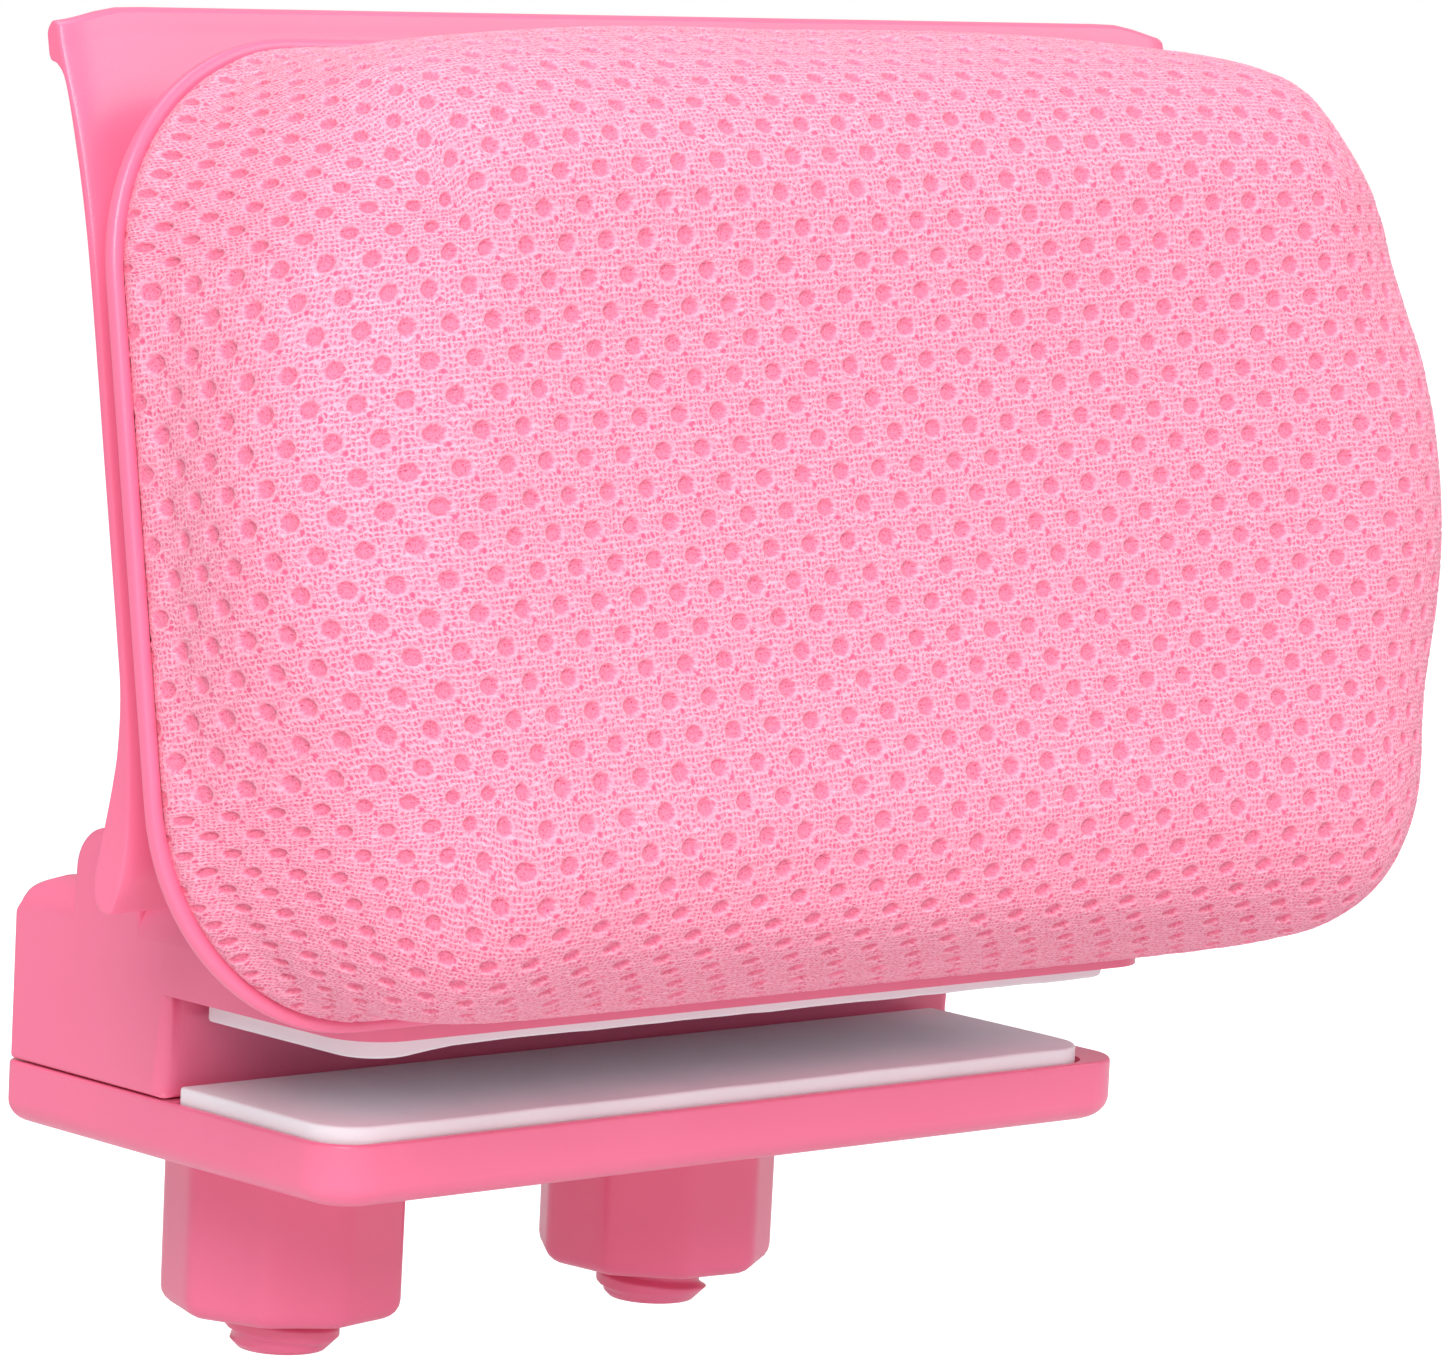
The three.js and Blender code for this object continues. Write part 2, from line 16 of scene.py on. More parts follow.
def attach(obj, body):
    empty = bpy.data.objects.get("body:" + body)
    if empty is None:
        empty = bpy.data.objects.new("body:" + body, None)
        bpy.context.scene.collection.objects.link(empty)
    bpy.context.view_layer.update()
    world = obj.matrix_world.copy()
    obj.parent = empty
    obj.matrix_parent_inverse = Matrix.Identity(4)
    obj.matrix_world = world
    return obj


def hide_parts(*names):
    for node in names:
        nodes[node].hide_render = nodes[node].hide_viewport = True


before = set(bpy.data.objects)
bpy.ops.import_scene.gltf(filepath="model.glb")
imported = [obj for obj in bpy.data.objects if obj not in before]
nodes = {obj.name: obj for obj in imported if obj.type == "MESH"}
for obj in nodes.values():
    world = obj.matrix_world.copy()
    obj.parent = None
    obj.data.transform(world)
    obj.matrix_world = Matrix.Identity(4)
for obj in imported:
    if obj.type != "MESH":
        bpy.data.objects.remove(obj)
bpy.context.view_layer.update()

# %% [markdown]
# ## Camera
# A product picture is taken with a long lens from a little above, so that straight edges stay nearly
# parallel. The camera's axes are given as a matrix, which states its slight roll without a tracking helper.

# %% Camera
MM = 0.001
PICTURE = (1445, 1358)
camera_data = bpy.data.cameras.new("camera")
camera_data.lens = 181.93
camera_data.sensor_width = 36
camera_data.clip_start, camera_data.clip_end = 0.05, 20
camera = bpy.data.objects.new("camera", camera_data)
bpy.context.scene.collection.objects.link(camera)
right, up, forward = (0.7451, -0.6651, 0.0489), (0.0470, 0.1256, 0.9910), (0.66529, 0.73609, -0.12475)
axes = Matrix((right, up, [-value for value in forward])).transposed().to_4x4()
camera.matrix_world = Matrix.Translation((-0.78183, -0.89656, 0.20520)) @ axes
bpy.context.scene.camera = camera
print("camera looks along", forward, "for a picture of", PICTURE)

# %% [markdown]
# ## Floor and light
# The studio is white: a pale floor that clears the opened jaw, a large soft light high on the left and weaker
# lights elsewhere. The world looks white but lights less than it shows, so that shapes keep their shading.

# %% Floor, world and lights
scene = bpy.context.scene
scene.view_settings.view_transform = "Standard"


def new_material(name):
    material = bpy.data.materials.new(name)
    material.use_nodes = True
    tree = material.node_tree
    return material, tree.nodes, tree.links, tree.nodes["Principled BSDF"]


def studio_floor(z, size=6.0):
    mesh = bpy.data.meshes.new("floor")
    half = size / 2
    corners = [(-half, -half, z), (half, -half, z), (half, half, z), (-half, half, z)]
    mesh.from_pydata(corners, [], [(0, 1, 2, 3)])
    floor = bpy.data.objects.new("floor", mesh)
    scene.collection.objects.link(floor)
    material, tree, links, shader = new_material("paper_floor")
    shader.inputs["Base Color"].default_value = (0.80, 0.79, 0.795, 1)
    shader.inputs["Roughness"].default_value = 0.8
    shader.inputs["Specular IOR Level"].default_value = 0.1
    shader.inputs["Emission Color"].default_value = (1, 1, 1, 1)
    seen = tree.new("ShaderNodeLightPath")
    glow = tree.new("ShaderNodeMath")
    glow.operation = "MULTIPLY"
    glow.inputs[1].default_value = 0.72
    links.new(seen.outputs["Is Camera Ray"], glow.inputs[0])
    links.new(glow.outputs[0], shader.inputs["Emission Strength"])
    mesh.materials.append(material)


def studio_world(shown, lit):
    world = bpy.data.worlds.new("studio")
    scene.world = world
    world.use_nodes = True
    tree = world.node_tree
    background = tree.nodes["Background"]
    background.inputs["Color"].default_value = (1, 1, 1, 1)
    path = tree.nodes.new("ShaderNodeLightPath")
    strength = tree.nodes.new("ShaderNodeMapRange")
    strength.inputs["To Min"].default_value = lit
    strength.inputs["To Max"].default_value = shown
    tree.links.new(path.outputs["Is Camera Ray"], strength.inputs["Value"])
    tree.links.new(strength.outputs["Result"], background.inputs["Strength"])


def soft_light(name, place, target, size, power):
    data = bpy.data.lights.new(name, "AREA")
    data.shape = "RECTANGLE"
    data.size, data.size_y = size
    data.energy = power
    light = bpy.data.objects.new(name, data)
    light.location = place
    aim = Vector(target) - Vector(place)
    light.rotation_euler = aim.to_track_quat("-Z", "Y").to_euler()
    scene.collection.objects.link(light)


FLOOR_Z = -0.0785
studio_floor(FLOOR_Z)
studio_world(shown=1.0, lit=0.44)
MIDDLE = (0, -0.03, 0.07)
soft_light("key", (-0.95, -1.02, 0.95), MIDDLE, (0.7, 0.9), 21)
soft_light("front_fill", (1.0, -0.95, 0.95), MIDDLE, (1.1, 0.8), 8)
soft_light("top", (-0.2, 0.1, 1.3), MIDDLE, (0.9, 0.7), 5)
print("floor at", FLOOR_Z)

# %% [markdown]
# ## Mesh helpers
# Moulded pieces are made like their tools: outlines are drawn, offset and lofted into closed skins, then
# pockets and bores are cut out. Helpers keep that in one place. Outlines and loops are in millimetres, and
# become metres when a mesh is made of them.

# %% Mesh helpers
def new_object(name, vertices, faces):
    mesh = bpy.data.meshes.new(name)
    mesh.from_pydata([tuple(point) for point in vertices], [], faces)
    skin = bmesh.new()
    skin.from_mesh(mesh)
    bmesh.ops.recalc_face_normals(skin, faces=skin.faces)
    skin.to_mesh(mesh)
    skin.free()
    made = bpy.data.objects.new(name, mesh)
    scene.collection.objects.link(made)
    return made


def loft(name, loops, ring=False):
    """A closed skin through loops of points in millimetres. A ring also joins the last loop to the first."""
    loops = np.asarray(loops, dtype=float)
    count, around = loops.shape[:2]
    index = np.arange(count * around).reshape(count, around)
    here = index if ring else index[:-1]
    beyond = np.roll(index, -1, axis=0) if ring else index[1:]
    quads = np.stack([here, np.roll(here, -1, axis=1), np.roll(beyond, -1, axis=1), beyond], axis=-1)
    faces = [tuple(quad) for quad in quads.reshape(-1, 4).tolist()]
    if not ring:
        faces += [tuple(index[0].tolist()), tuple(index[-1].tolist())]
    return new_object(name, loops.reshape(-1, 3) * MM, faces)


def rounded_rect(x0, x1, y0, y1, low_r, high_r=None, arc=10, side=10):
    """Outline with its own radius at the low and the high corners of the second axis."""
    high_r = low_r if high_r is None else high_r
    corners = [(x1 - low_r, y0 + low_r, low_r, -90), (x1 - high_r, y1 - high_r, high_r, 0),
               (x0 + high_r, y1 - high_r, high_r, 90), (x0 + low_r, y0 + low_r, low_r, 180)]
    arcs = []
    for centre_x, centre_y, radius, start in corners:
        angle = np.radians(start + np.linspace(0, 90, arc + 1))
        arcs.append(np.column_stack([centre_x + radius * np.cos(angle), centre_y + radius * np.sin(angle)]))
    outline = []
    for this, following in zip(arcs, arcs[1:] + arcs[:1]):
        step = np.linspace(0, 1, side + 2)[1:-1, None]
        outline += [this, this[-1] * (1 - step) + following[0] * step]
    return np.vstack(outline)


def level(outline, z):
    return np.column_stack([outline, np.full(len(outline), float(z))])


def edge_round(radius, steps=4):
    """(drop, inset) pairs down a rounded edge, from the flat face to the upright wall."""
    angle = np.radians(np.linspace(90, 0, steps + 1))
    return [(radius * (1 - math.sin(a)), radius * (1 - math.cos(a))) for a in angle]


def slab(name, x0, x1, y0, y1, radius, levels, arc=10, side=10, rear_radius=None):
    """A rounded plate through (z, inset) levels, with its own corner radius at the high end of y."""
    rear_radius = radius if rear_radius is None else rear_radius
    loops = []
    for z, inset in levels:
        front_r, rear_r = max(radius - inset, 0.15), max(rear_radius - inset, 0.15)
        outline = rounded_rect(x0 + inset, x1 - inset, y0 + inset, y1 - inset, front_r, rear_r, arc, side)
        loops.append(level(outline, z))
    return loft(name, loops)


def offset_in(outline, distance):
    """Moves a counter-clockwise outline inwards along its own normals."""
    along = np.roll(outline, -1, axis=0) - np.roll(outline, 1, axis=0)
    along /= np.maximum(np.linalg.norm(along, axis=1, keepdims=True), 1e-9)
    return outline + distance * np.column_stack([-along[:, 1], along[:, 0]])


def rod(name, axis, radius, low, high, centre, sides=64):
    """A round bar along x, y or z."""
    angle = np.linspace(0, 2 * math.pi, sides, endpoint=False)
    loops = []
    for place in (low, high):
        across = [radius * np.cos(angle) + centre[0], radius * np.sin(angle) + centre[1]]
        across.insert("xyz".index(axis), np.full(sides, float(place)))
        loops.append(np.column_stack(across))
    return loft(name, loops)


def settle(piece):
    """Turns the evaluated piece into a plain mesh and drops its modifiers."""
    graph = bpy.context.evaluated_depsgraph_get()
    graph.update()
    mesh = bpy.data.meshes.new_from_object(
        piece.evaluated_get(graph), preserve_all_data_layers=True, depsgraph=graph)
    piece.modifiers.clear()
    piece.data = mesh
    mesh.name = piece.name
    return piece


def combine(piece, others, operation):
    for other in others:
        boolean = piece.modifiers.new(operation.lower(), "BOOLEAN")
        boolean.operation, boolean.solver, boolean.object = operation, "EXACT", other
    settle(piece)
    for other in others:
        bpy.data.objects.remove(other)
    return piece


def shade(piece, sharp=34):
    piece.data.shade_smooth()
    piece.data.set_sharp_from_angle(angle=math.radians(sharp))
    weighted = piece.modifiers.new("normals", "WEIGHTED_NORMAL")
    weighted.keep_sharp = True
    settle(piece)
    triangles = sum(len(face.vertices) - 2 for face in piece.data.polygons)
    print(piece.name, triangles, "triangles")
    return piece


# %% [markdown]
# ## Shared effects
# Moulded plastic is never one flat colour: the melt leaves faint clouds, and the tool leaves a satin grain.
# Both come from one node group, placed in each material with its own values.

# %% Shader group: satin mould grain
def shader_group(name, inputs, outputs):
    group = bpy.data.node_groups.new(name, "ShaderNodeTree")
    for label, kind, value in inputs:
        socket = group.interface.new_socket(label, in_out="INPUT", socket_type=kind)
        if value is not None:
            socket.default_value = value
    for label, kind in outputs:
        group.interface.new_socket(label, in_out="OUTPUT", socket_type=kind)
    return group, group.nodes.new("NodeGroupInput"), group.nodes.new("NodeGroupOutput")


def maths(group, operation, first, second=None, third=None, clamp=False):
    node = group.nodes.new("ShaderNodeMath")
    node.operation = operation
    node.use_clamp = clamp
    for socket, value in zip(node.inputs, (first, second, third)):
        if value is None:
            continue
        if isinstance(value, (int, float)):
            socket.default_value = value
        else:
            group.links.new(value, socket)
    return node.outputs[0]


def noise(group, vector, scale, detail=2.0):
    node = group.nodes.new("ShaderNodeTexNoise")
    node.inputs["Detail"].default_value = detail
    group.links.new(vector, node.inputs["Vector"])
    if isinstance(scale, (int, float)):
        node.inputs["Scale"].default_value = scale
    else:
        group.links.new(scale, node.inputs["Scale"])
    return node.outputs["Fac"]


NUMBER, VECTOR = "NodeSocketFloat", "NodeSocketVector"
grain, grain_in, grain_out = shader_group(
    "mould_grain",
    [("Vector", VECTOR, None), ("Cloud size", NUMBER, 25.0), ("Grain size", NUMBER, 2500.0)],
    [("Clouds", NUMBER), ("Height", NUMBER), ("Scuffs", NUMBER)])
clouds = noise(grain, grain_in.outputs["Vector"], grain_in.outputs["Cloud size"], 3)
fine = noise(grain, grain_in.outputs["Vector"], grain_in.outputs["Grain size"], 1)
scratches = noise(grain, grain_in.outputs["Vector"], 420.0, 4)
scuffs = maths(grain, "MULTIPLY", maths(grain, "SUBTRACT", scratches, 0.62, clamp=True), 4.0, clamp=True)
grain.links.new(clouds, grain_out.inputs["Clouds"])
grain.links.new(fine, grain_out.inputs["Height"])
grain.links.new(scuffs, grain_out.inputs["Scuffs"])
print("groups:", [group.name for group in bpy.data.node_groups])

# %% [markdown]
# ## Finishes
# Each material mixes two near colours by the clouds and lets the fine grain feed a very weak bump.
# The plastic is satin ABS, the hardware is plated steel and brass, the washers nylon and the board fibre.

# %% Materials
ROUGHNESS_SPREAD = 0.08              # how much the scuffs roughen a surface


def grainy(name, light, dark, roughness, bump, cloud=25.0, size=2500.0, metallic=0.0, specular=0.5):
    material, tree, links, shader = new_material(name)
    place = tree.new("ShaderNodeTexCoord")
    use = tree.new("ShaderNodeGroup")
    use.node_tree = grain
    use.inputs["Cloud size"].default_value = cloud
    use.inputs["Grain size"].default_value = size
    links.new(place.outputs["Object"], use.inputs["Vector"])
    mix = tree.new("ShaderNodeMix")
    mix.data_type = "RGBA"
    mix.inputs["A"].default_value = (*dark, 1)
    mix.inputs["B"].default_value = (*light, 1)
    links.new(use.outputs["Clouds"], mix.inputs["Factor"])
    links.new(mix.outputs["Result"], shader.inputs["Base Color"])
    rough = tree.new("ShaderNodeMapRange")
    rough.inputs["To Min"].default_value = roughness - ROUGHNESS_SPREAD / 2
    rough.inputs["To Max"].default_value = roughness + ROUGHNESS_SPREAD
    links.new(use.outputs["Scuffs"], rough.inputs["Value"])
    links.new(rough.outputs["Result"], shader.inputs["Roughness"])
    relief = tree.new("ShaderNodeBump")
    relief.inputs["Strength"].default_value = bump
    relief.inputs["Distance"].default_value = 0.00012
    links.new(use.outputs["Height"], relief.inputs["Height"])
    links.new(relief.outputs["Normal"], shader.inputs["Normal"])
    shader.inputs["Metallic"].default_value = metallic
    shader.inputs["Specular IOR Level"].default_value = specular
    return material


pink_plastic = grainy("pink_plastic", (0.92, 0.20, 0.345), (0.88, 0.165, 0.31), 0.33, 0.22)
foam_strip = grainy("foam_strip", (0.92, 0.90, 0.93), (0.84, 0.81, 0.86), 0.82, 0.5, 60.0, 900.0,
                    specular=0.2)
core_foam = grainy("core_foam", (0.85, 0.20, 0.36), (0.72, 0.13, 0.27), 0.95, 0.8, 90.0, 700.0,
                   specular=0.1)
plated_steel = grainy("plated_steel", (0.62, 0.63, 0.66), (0.48, 0.49, 0.52), 0.28, 0.1, 200.0, 4000.0, 1.0)
brass = grainy("brass", (0.78, 0.55, 0.22), (0.62, 0.40, 0.14), 0.3, 0.1, 200.0, 4000.0, 1.0)
nylon = grainy("nylon", (0.86, 0.85, 0.80), (0.78, 0.77, 0.72), 0.5, 0.15, 120.0, 3000.0)
fibre_board = grainy("fibre_board", (0.36, 0.22, 0.12), (0.24, 0.14, 0.075), 0.85, 0.6, 300.0, 1400.0)
print("materials:", len(bpy.data.materials))

# %% [markdown]
# ## Clamp body
# One thick moulding: an upper jaw, the column behind the throat and two hinge ears. Its edges have very
# different radii, so a cage with few corners gets a bevel weight for each edge, and one bevel rounds all.

# %% Clamp body
HALF = 86
HINGE, HINGE_R = (17.5, 25.0), 7.5   # axis in (y, z), and the radius of its ears and knuckles
ARM_FRONT, BACK, BODY_TOP, BODY_FLOOR, THROAT = -48.7, 40.8, 22.6, -8.2, 8.4
BOLT_X, BOLT_Y = 40.5, 24.0
BORE_R = 10.2
POCKET_FRONT, POCKET_BACK, POCKET_R, POCKET_DEEP = -42.8, -1.9, 6.8, 1
section = [(0, BODY_FLOOR), (BACK, BODY_FLOOR), (BACK, BODY_TOP), (ARM_FRONT, BODY_TOP),
           (ARM_FRONT, THROAT), (0, THROAT)]
long_radius = [0.6, 0.8, 9, 7, 0, 0.8]          # edges along X, one for each corner of the section
end_radius = [0.8, 1.2, 6, 9, 0, 3.4]           # end edges, from each corner to the next


def weighted_cage(name, outline, half, along, ends, widest):
    corners = [(x, y, z) for x in (-half, half) for y, z in outline]
    count = len(outline)
    faces = [tuple(range(count)), tuple(range(count, 2 * count))]
    faces += [(k, (k + 1) % count, count + (k + 1) % count, count + k) for k in range(count)]
    cage = new_object(name, np.array(corners) * MM, faces)
    weights = cage.data.attributes.new("bevel_weight_edge", "FLOAT", "EDGE")
    for edge in cage.data.edges:
        first, second = sorted(edge.vertices)
        if second - first == count:
            radius = along[first]
        else:
            low, high = first % count, second % count
            radius = ends[low if high - low == 1 else high]
        weights.data[edge.index].value = radius / widest
    bevel = cage.modifiers.new("radii", "BEVEL")
    bevel.limit_method = "WEIGHT"
    bevel.width = widest * MM
    bevel.segments = 7
    bevel.use_clamp_overlap = False
    return settle(cage)


def hinge_ear(side):
    """A lug with a round top, and a soft outer end that melts into the body's end."""
    angle = np.radians(np.linspace(0, 180, 25))
    top = np.column_stack([HINGE[0] + HINGE_R * np.cos(angle), HINGE[1] + HINGE_R * np.sin(angle)])
    foot = np.array([[HINGE[0] - 10.5, 15.0], [HINGE[0] + HINGE_R, 15.0]])
    flare = np.array([[HINGE[0] - 7.7, 24.2], [HINGE[0] - 8.3, 23.2], [HINGE[0] - 9.2, 22.5]])
    outline = np.vstack([foot, top, flare])
    outer_end = [(HALF - drop, inset) for drop, inset in reversed(edge_round(1.0))]
    loops = []
    for place, inset in [(72, 0.4), (72.4, 0)] + outer_end:
        loops.append(np.column_stack([np.full(len(outline), side * place), offset_in(outline, inset)]))
    return loft("ear", loops)


def hexagon(across, per_side=12, corner=0.6):
    """A six-sided outline with softened corners."""
    angle = np.linspace(0, 2 * math.pi, 6 * per_side, endpoint=False) + 1e-4
    within = angle % (math.pi / 3) - math.pi / 6
    radius = across / 2 / np.cos(within)
    radius = np.minimum(radius, across / math.sqrt(3) - corner)
    return np.column_stack([radius * np.cos(angle), radius * np.sin(angle)])


clamp_body = weighted_cage("clamp_body_shape", section, HALF, long_radius, end_radius, 9)
combine(clamp_body, [hinge_ear(-1), hinge_ear(1)], "UNION")
tools = [slab("pocket", -79.8, 83.8, POCKET_FRONT, POCKET_BACK, POCKET_R,
              [(THROAT - 1, 0), (THROAT + POCKET_DEEP, 0)], rear_radius=1)]
RECESS = ((10.2, 26.6), (BODY_TOP - 0.7, 26.6), (BODY_TOP + 0.1, 28.2), (BODY_TOP + 1, 28.2))
for side in (-1, 1):
    spot = (side * BOLT_X, BOLT_Y)
    tools.append(rod("bore", "z", BORE_R, BODY_FLOOR - 1, 10.5, spot))
    tools.append(loft("recess", [level(hexagon(across) + np.array(spot), z) for z, across in RECESS]))
    tools.append(rod("groove", "x", 8, *sorted((side * 51.8, side * 71.99)), HINGE))
    tools.append(rod("insert_bore", "x", 3.9, *sorted((side * 71, side * 82)), HINGE, 32))
combine(clamp_body, tools, "DIFFERENCE")
shade(clamp_body)

# %% [markdown]
# ## Lower jaw
# A flat plate with round plan corners, a pocket for its foam strip and a bevel all round its underside.
# It repeats one rounded outline at several heights, so a loft through levels gives it cleanly.

# %% Lower jaw
JAW_TOP, JAW_FRONT, JAW_BACK, JAW_WALL = -8.5, -44, 42, 8.1
BEVEL_UP, BEVEL_DOWN, BEVEL_IN = 1.6, 4.0, 5.4
rim = [(JAW_TOP - drop, inset) for drop, inset in edge_round(0.6)]
bevel_turn = np.radians(np.linspace(0, 90, 10))
foot = [(JAW_TOP - JAW_WALL + BEVEL_UP - BEVEL_DOWN * math.sin(a), BEVEL_IN * (1 - math.cos(a)))
        for a in bevel_turn]
lower_jaw = slab("lower_jaw_shape", -HALF, HALF, JAW_FRONT, JAW_BACK, 9, rim + foot, arc=12,
                 rear_radius=2.5)
tools = [slab("pocket", -84.8, 78.8, POCKET_FRONT, POCKET_BACK, POCKET_R,
              [(JAW_TOP - POCKET_DEEP, 0), (JAW_TOP + 1, 0)], rear_radius=1)]
tools += [rod("bore", "z", BORE_R, JAW_TOP - 20, JAW_TOP + 1, (side * BOLT_X, BOLT_Y)) for side in (-1, 1)]
combine(lower_jaw, tools, "DIFFERENCE")
shade(lower_jaw)

# %% [markdown]
# ## Foam strips
# Each strip is die-cut closed-cell foam, glued in a pocket. It is thin and flat, so no simulation is needed:
# many rings across the face let it wave a little and let the loose end of the upper strip hang down.

# %% Foam strips
PAD_RINGS = [0.9, 2.5, 5, 8, 11, 14, 17, 18.9]
PAD_HALF, PAD_FRONT, PAD_BACK, PAD_R = 81.5, -42.5, -2.2, 8


def foam_pad(name, centre_x, low, high, sag):
    top = [(high, ring) for ring in reversed(PAD_RINGS)]
    top += [(high - drop, inset) for drop, inset in edge_round(0.5, 3)]
    bottom = [(low + 0.5, 0), (low + 0.15, 0.15), (low, 0.5)] + [(low, ring) for ring in PAD_RINGS]
    pad = slab(name, centre_x - PAD_HALF, centre_x + PAD_HALF, PAD_FRONT, PAD_BACK, PAD_R, top + bottom,
               arc=12, side=30, rear_radius=1)
    for vertex in pad.data.vertices:
        x, y = vertex.co.x / MM, vertex.co.y / MM
        vertex.co.z += sag(x, y) * MM
    return shade(pad, 60)


def smooth_step(value, start, end):
    share = np.clip((value - start) / (end - start), 0, 1)
    return share * share * (3 - 2 * share)


def upper_sag(x, y):
    loose_end = smooth_step(-x, 58, 80)
    edge_wave = 0.28 * math.sin(x / 6.5 + 0.6) + 0.2 * math.sin(x / 2.9)
    return -1.5 * loose_end - 0.35 * abs(edge_wave) * smooth_step(-y, 30, 42) - 0.15


def lower_sag(x, y):
    return -0.12 * abs(math.sin(x / 11 + y / 17)) * smooth_step(-y, 20, 42)


upper_pad = foam_pad("upper_pad_shape", 2, 5.8, 9.1, upper_sag)
lower_pad = foam_pad("lower_pad_shape", -3, -9.2, -5.9, lower_sag)

# %% [markdown]
# ## Clamp bolts
# The bolts are coarse plastic screws with a rounded thread of 5 mm pitch, held by a hexagon head in the body.
# A thread follows a rule, so its radius is computed from the turn and the height, and one loft makes it all.

# %% Clamp bolts
BOLT_TIP, HEAD_BOTTOM, HEAD_TOP, PITCH = -57.5, 10.5, 18.5, 5.0
CREST_R, THREAD_DEEP, TIP_R = 9.55, 1.35, 7.3
AROUND = 72


def thread_radius(z, angle):
    wave = 0.5 - 0.5 * np.cos(2 * math.pi * (z / PITCH + angle / (2 * math.pi)))
    depth = THREAD_DEEP * smooth_step(wave, 0.28, 0.9)
    fade = smooth_step(z, HEAD_BOTTOM - 4, HEAD_BOTTOM - 9)
    tip_cone = TIP_R + (z - BOLT_TIP)
    return np.minimum(CREST_R - depth * fade, tip_cone)


def clamp_bolt(name, side, turn):
    angle = np.linspace(0, 2 * math.pi, AROUND, endpoint=False)
    circle = np.column_stack([np.cos(angle), np.sin(angle)])
    heights = np.arange(BOLT_TIP, HEAD_BOTTOM, 0.32)
    loops = [level(circle * 6.6, BOLT_TIP)]
    loops += [level(circle * thread_radius(z, angle + turn)[:, None], z + 0.05) for z in heights]
    head = [(HEAD_BOTTOM, 25.2), (HEAD_BOTTOM + 0.4, 26), (HEAD_TOP - 0.9, 26), (HEAD_TOP - 0.3, 25.5),
            (HEAD_TOP, 24.4)]
    loops += [level(hexagon(across), z) for z, across in head]
    loops.append(level(circle * 6, HEAD_TOP))
    loops.append(level(circle * 5.4, HEAD_TOP - 0.8))
    loops = np.array(loops) + np.array([side * BOLT_X, BOLT_Y, 0])
    return shade(loft(name, loops), 50)


bolts = {"left": clamp_bolt("bolt_left", -1, 0.8), "right": clamp_bolt("bolt_right", 1, 2.4)}

# %% [markdown]
# ## Knobs
# A knob is a nine-sided nut with soft corners, a slight draft for the mould and a chamfered bottom.
# Its skin is a ring: up the outside, across the washer's seat and down the bore, with no cut to make.

# %% Knobs
KNOB_TOP, KNOB_BOTTOM, KNOB_R, SIDES = -19.3, -51.0, 20.6, 9
DRAFT = 0.006                        # share by which the mould narrows the knob's foot


def nine_sided(turn, inset, scale):
    angle = np.linspace(0, 2 * math.pi, SIDES * 16, endpoint=False)
    within = (angle - math.radians(turn)) % (2 * math.pi / SIDES) - math.pi / SIDES
    flat = KNOB_R * math.cos(math.pi / SIDES) / np.cos(within)
    corner, sharpness = KNOB_R - 0.22, 0.16
    radius = -sharpness * np.log(np.exp(-(flat - corner) / sharpness) + 1) + corner
    radius = np.minimum(radius, flat)
    radius = (radius - inset) * scale
    return np.column_stack([radius * np.cos(angle), radius * np.sin(angle)])


def knob(name, side, turn):
    angle = np.linspace(0, 2 * math.pi, SIDES * 16, endpoint=False)
    circle = np.column_stack([np.cos(angle), np.sin(angle)])
    foot = [(0, 3.1), (0.15, 2.4), (0.6, 1.5), (1.3, 0.7), (2.2, 0.18), (3.2, 0)]
    outside = [(KNOB_BOTTOM + rise, inset) for rise, inset in foot] + [(z, 0) for z in (-42, -34, -26)]
    outside += [(KNOB_TOP - 0.6, 0), (KNOB_TOP - 0.15, 0.15), (KNOB_TOP, 0.6)]
    loops = []
    for z, inset in outside:
        draft = 1 - DRAFT * (KNOB_TOP - z) / (KNOB_TOP - KNOB_BOTTOM)
        loops.append(level(nine_sided(turn, inset, draft), z))
    inside = [(KNOB_TOP, 14.6), (KNOB_TOP - 0.2, 14.3), (KNOB_TOP - 1.5, 14.3), (KNOB_TOP - 1.5, 10.3),
              (KNOB_TOP - 1.9, 9.9), (KNOB_BOTTOM + 0.8, 9.9), (KNOB_BOTTOM, 10.7)]
    loops += [level(circle * radius, z) for z, radius in inside]
    loops = np.array(loops) + np.array([side * BOLT_X, BOLT_Y, 0])
    return shade(loft(name, loops, ring=True), 36)


knobs = {"left": knob("knob_left_shape", -1, 21.5), "right": knob("knob_right_shape", 1, 5)}

# %% [markdown]
# ## Back plate
# A thin leaning sheet whose top rolls back into a bead and whose foot sweeps back to the hinge leaf. Its
# section is one closed curve, repeated across the width. At both ends the front is eased back over a few
# millimetres, and the cut edge of the sheet is rounded a little.

# %% Back plate
LEAN = math.radians(10.5)
PLATE_Y, PLATE_Z, PLATE_HALF = -23.6, 95.55, 118.3
BEAD_R = 2.2


def lean(points):
    """(x, back, up) in the leaning frame, to (x, y, z)."""
    points = np.asarray(points, dtype=float)
    x, back, up = points[..., 0], points[..., 1], points[..., 2]
    y = PLATE_Y + back * math.cos(LEAN) + up * math.sin(LEAN)
    z = PLATE_Z - back * math.sin(LEAN) + up * math.cos(LEAN)
    return np.stack([x, y, z], axis=-1)


def spline(points, steps):
    """A smooth curve through points, with the same number of steps between each two."""
    points = np.asarray(points, dtype=float)
    padded = np.vstack([2 * points[0] - points[1], points, 2 * points[-1] - points[-2]])
    curve = []
    for a, b, c, d in zip(padded, padded[1:], padded[2:], padded[3:]):
        for t in np.arange(steps) / steps:
            curve.append(0.5 * (2 * b + (c - a) * t + (2 * a - 5 * b + 4 * c - d) * t ** 2
                                + (3 * b - 3 * c + d - a) * t ** 3))
    return np.array(curve + [points[-1]])


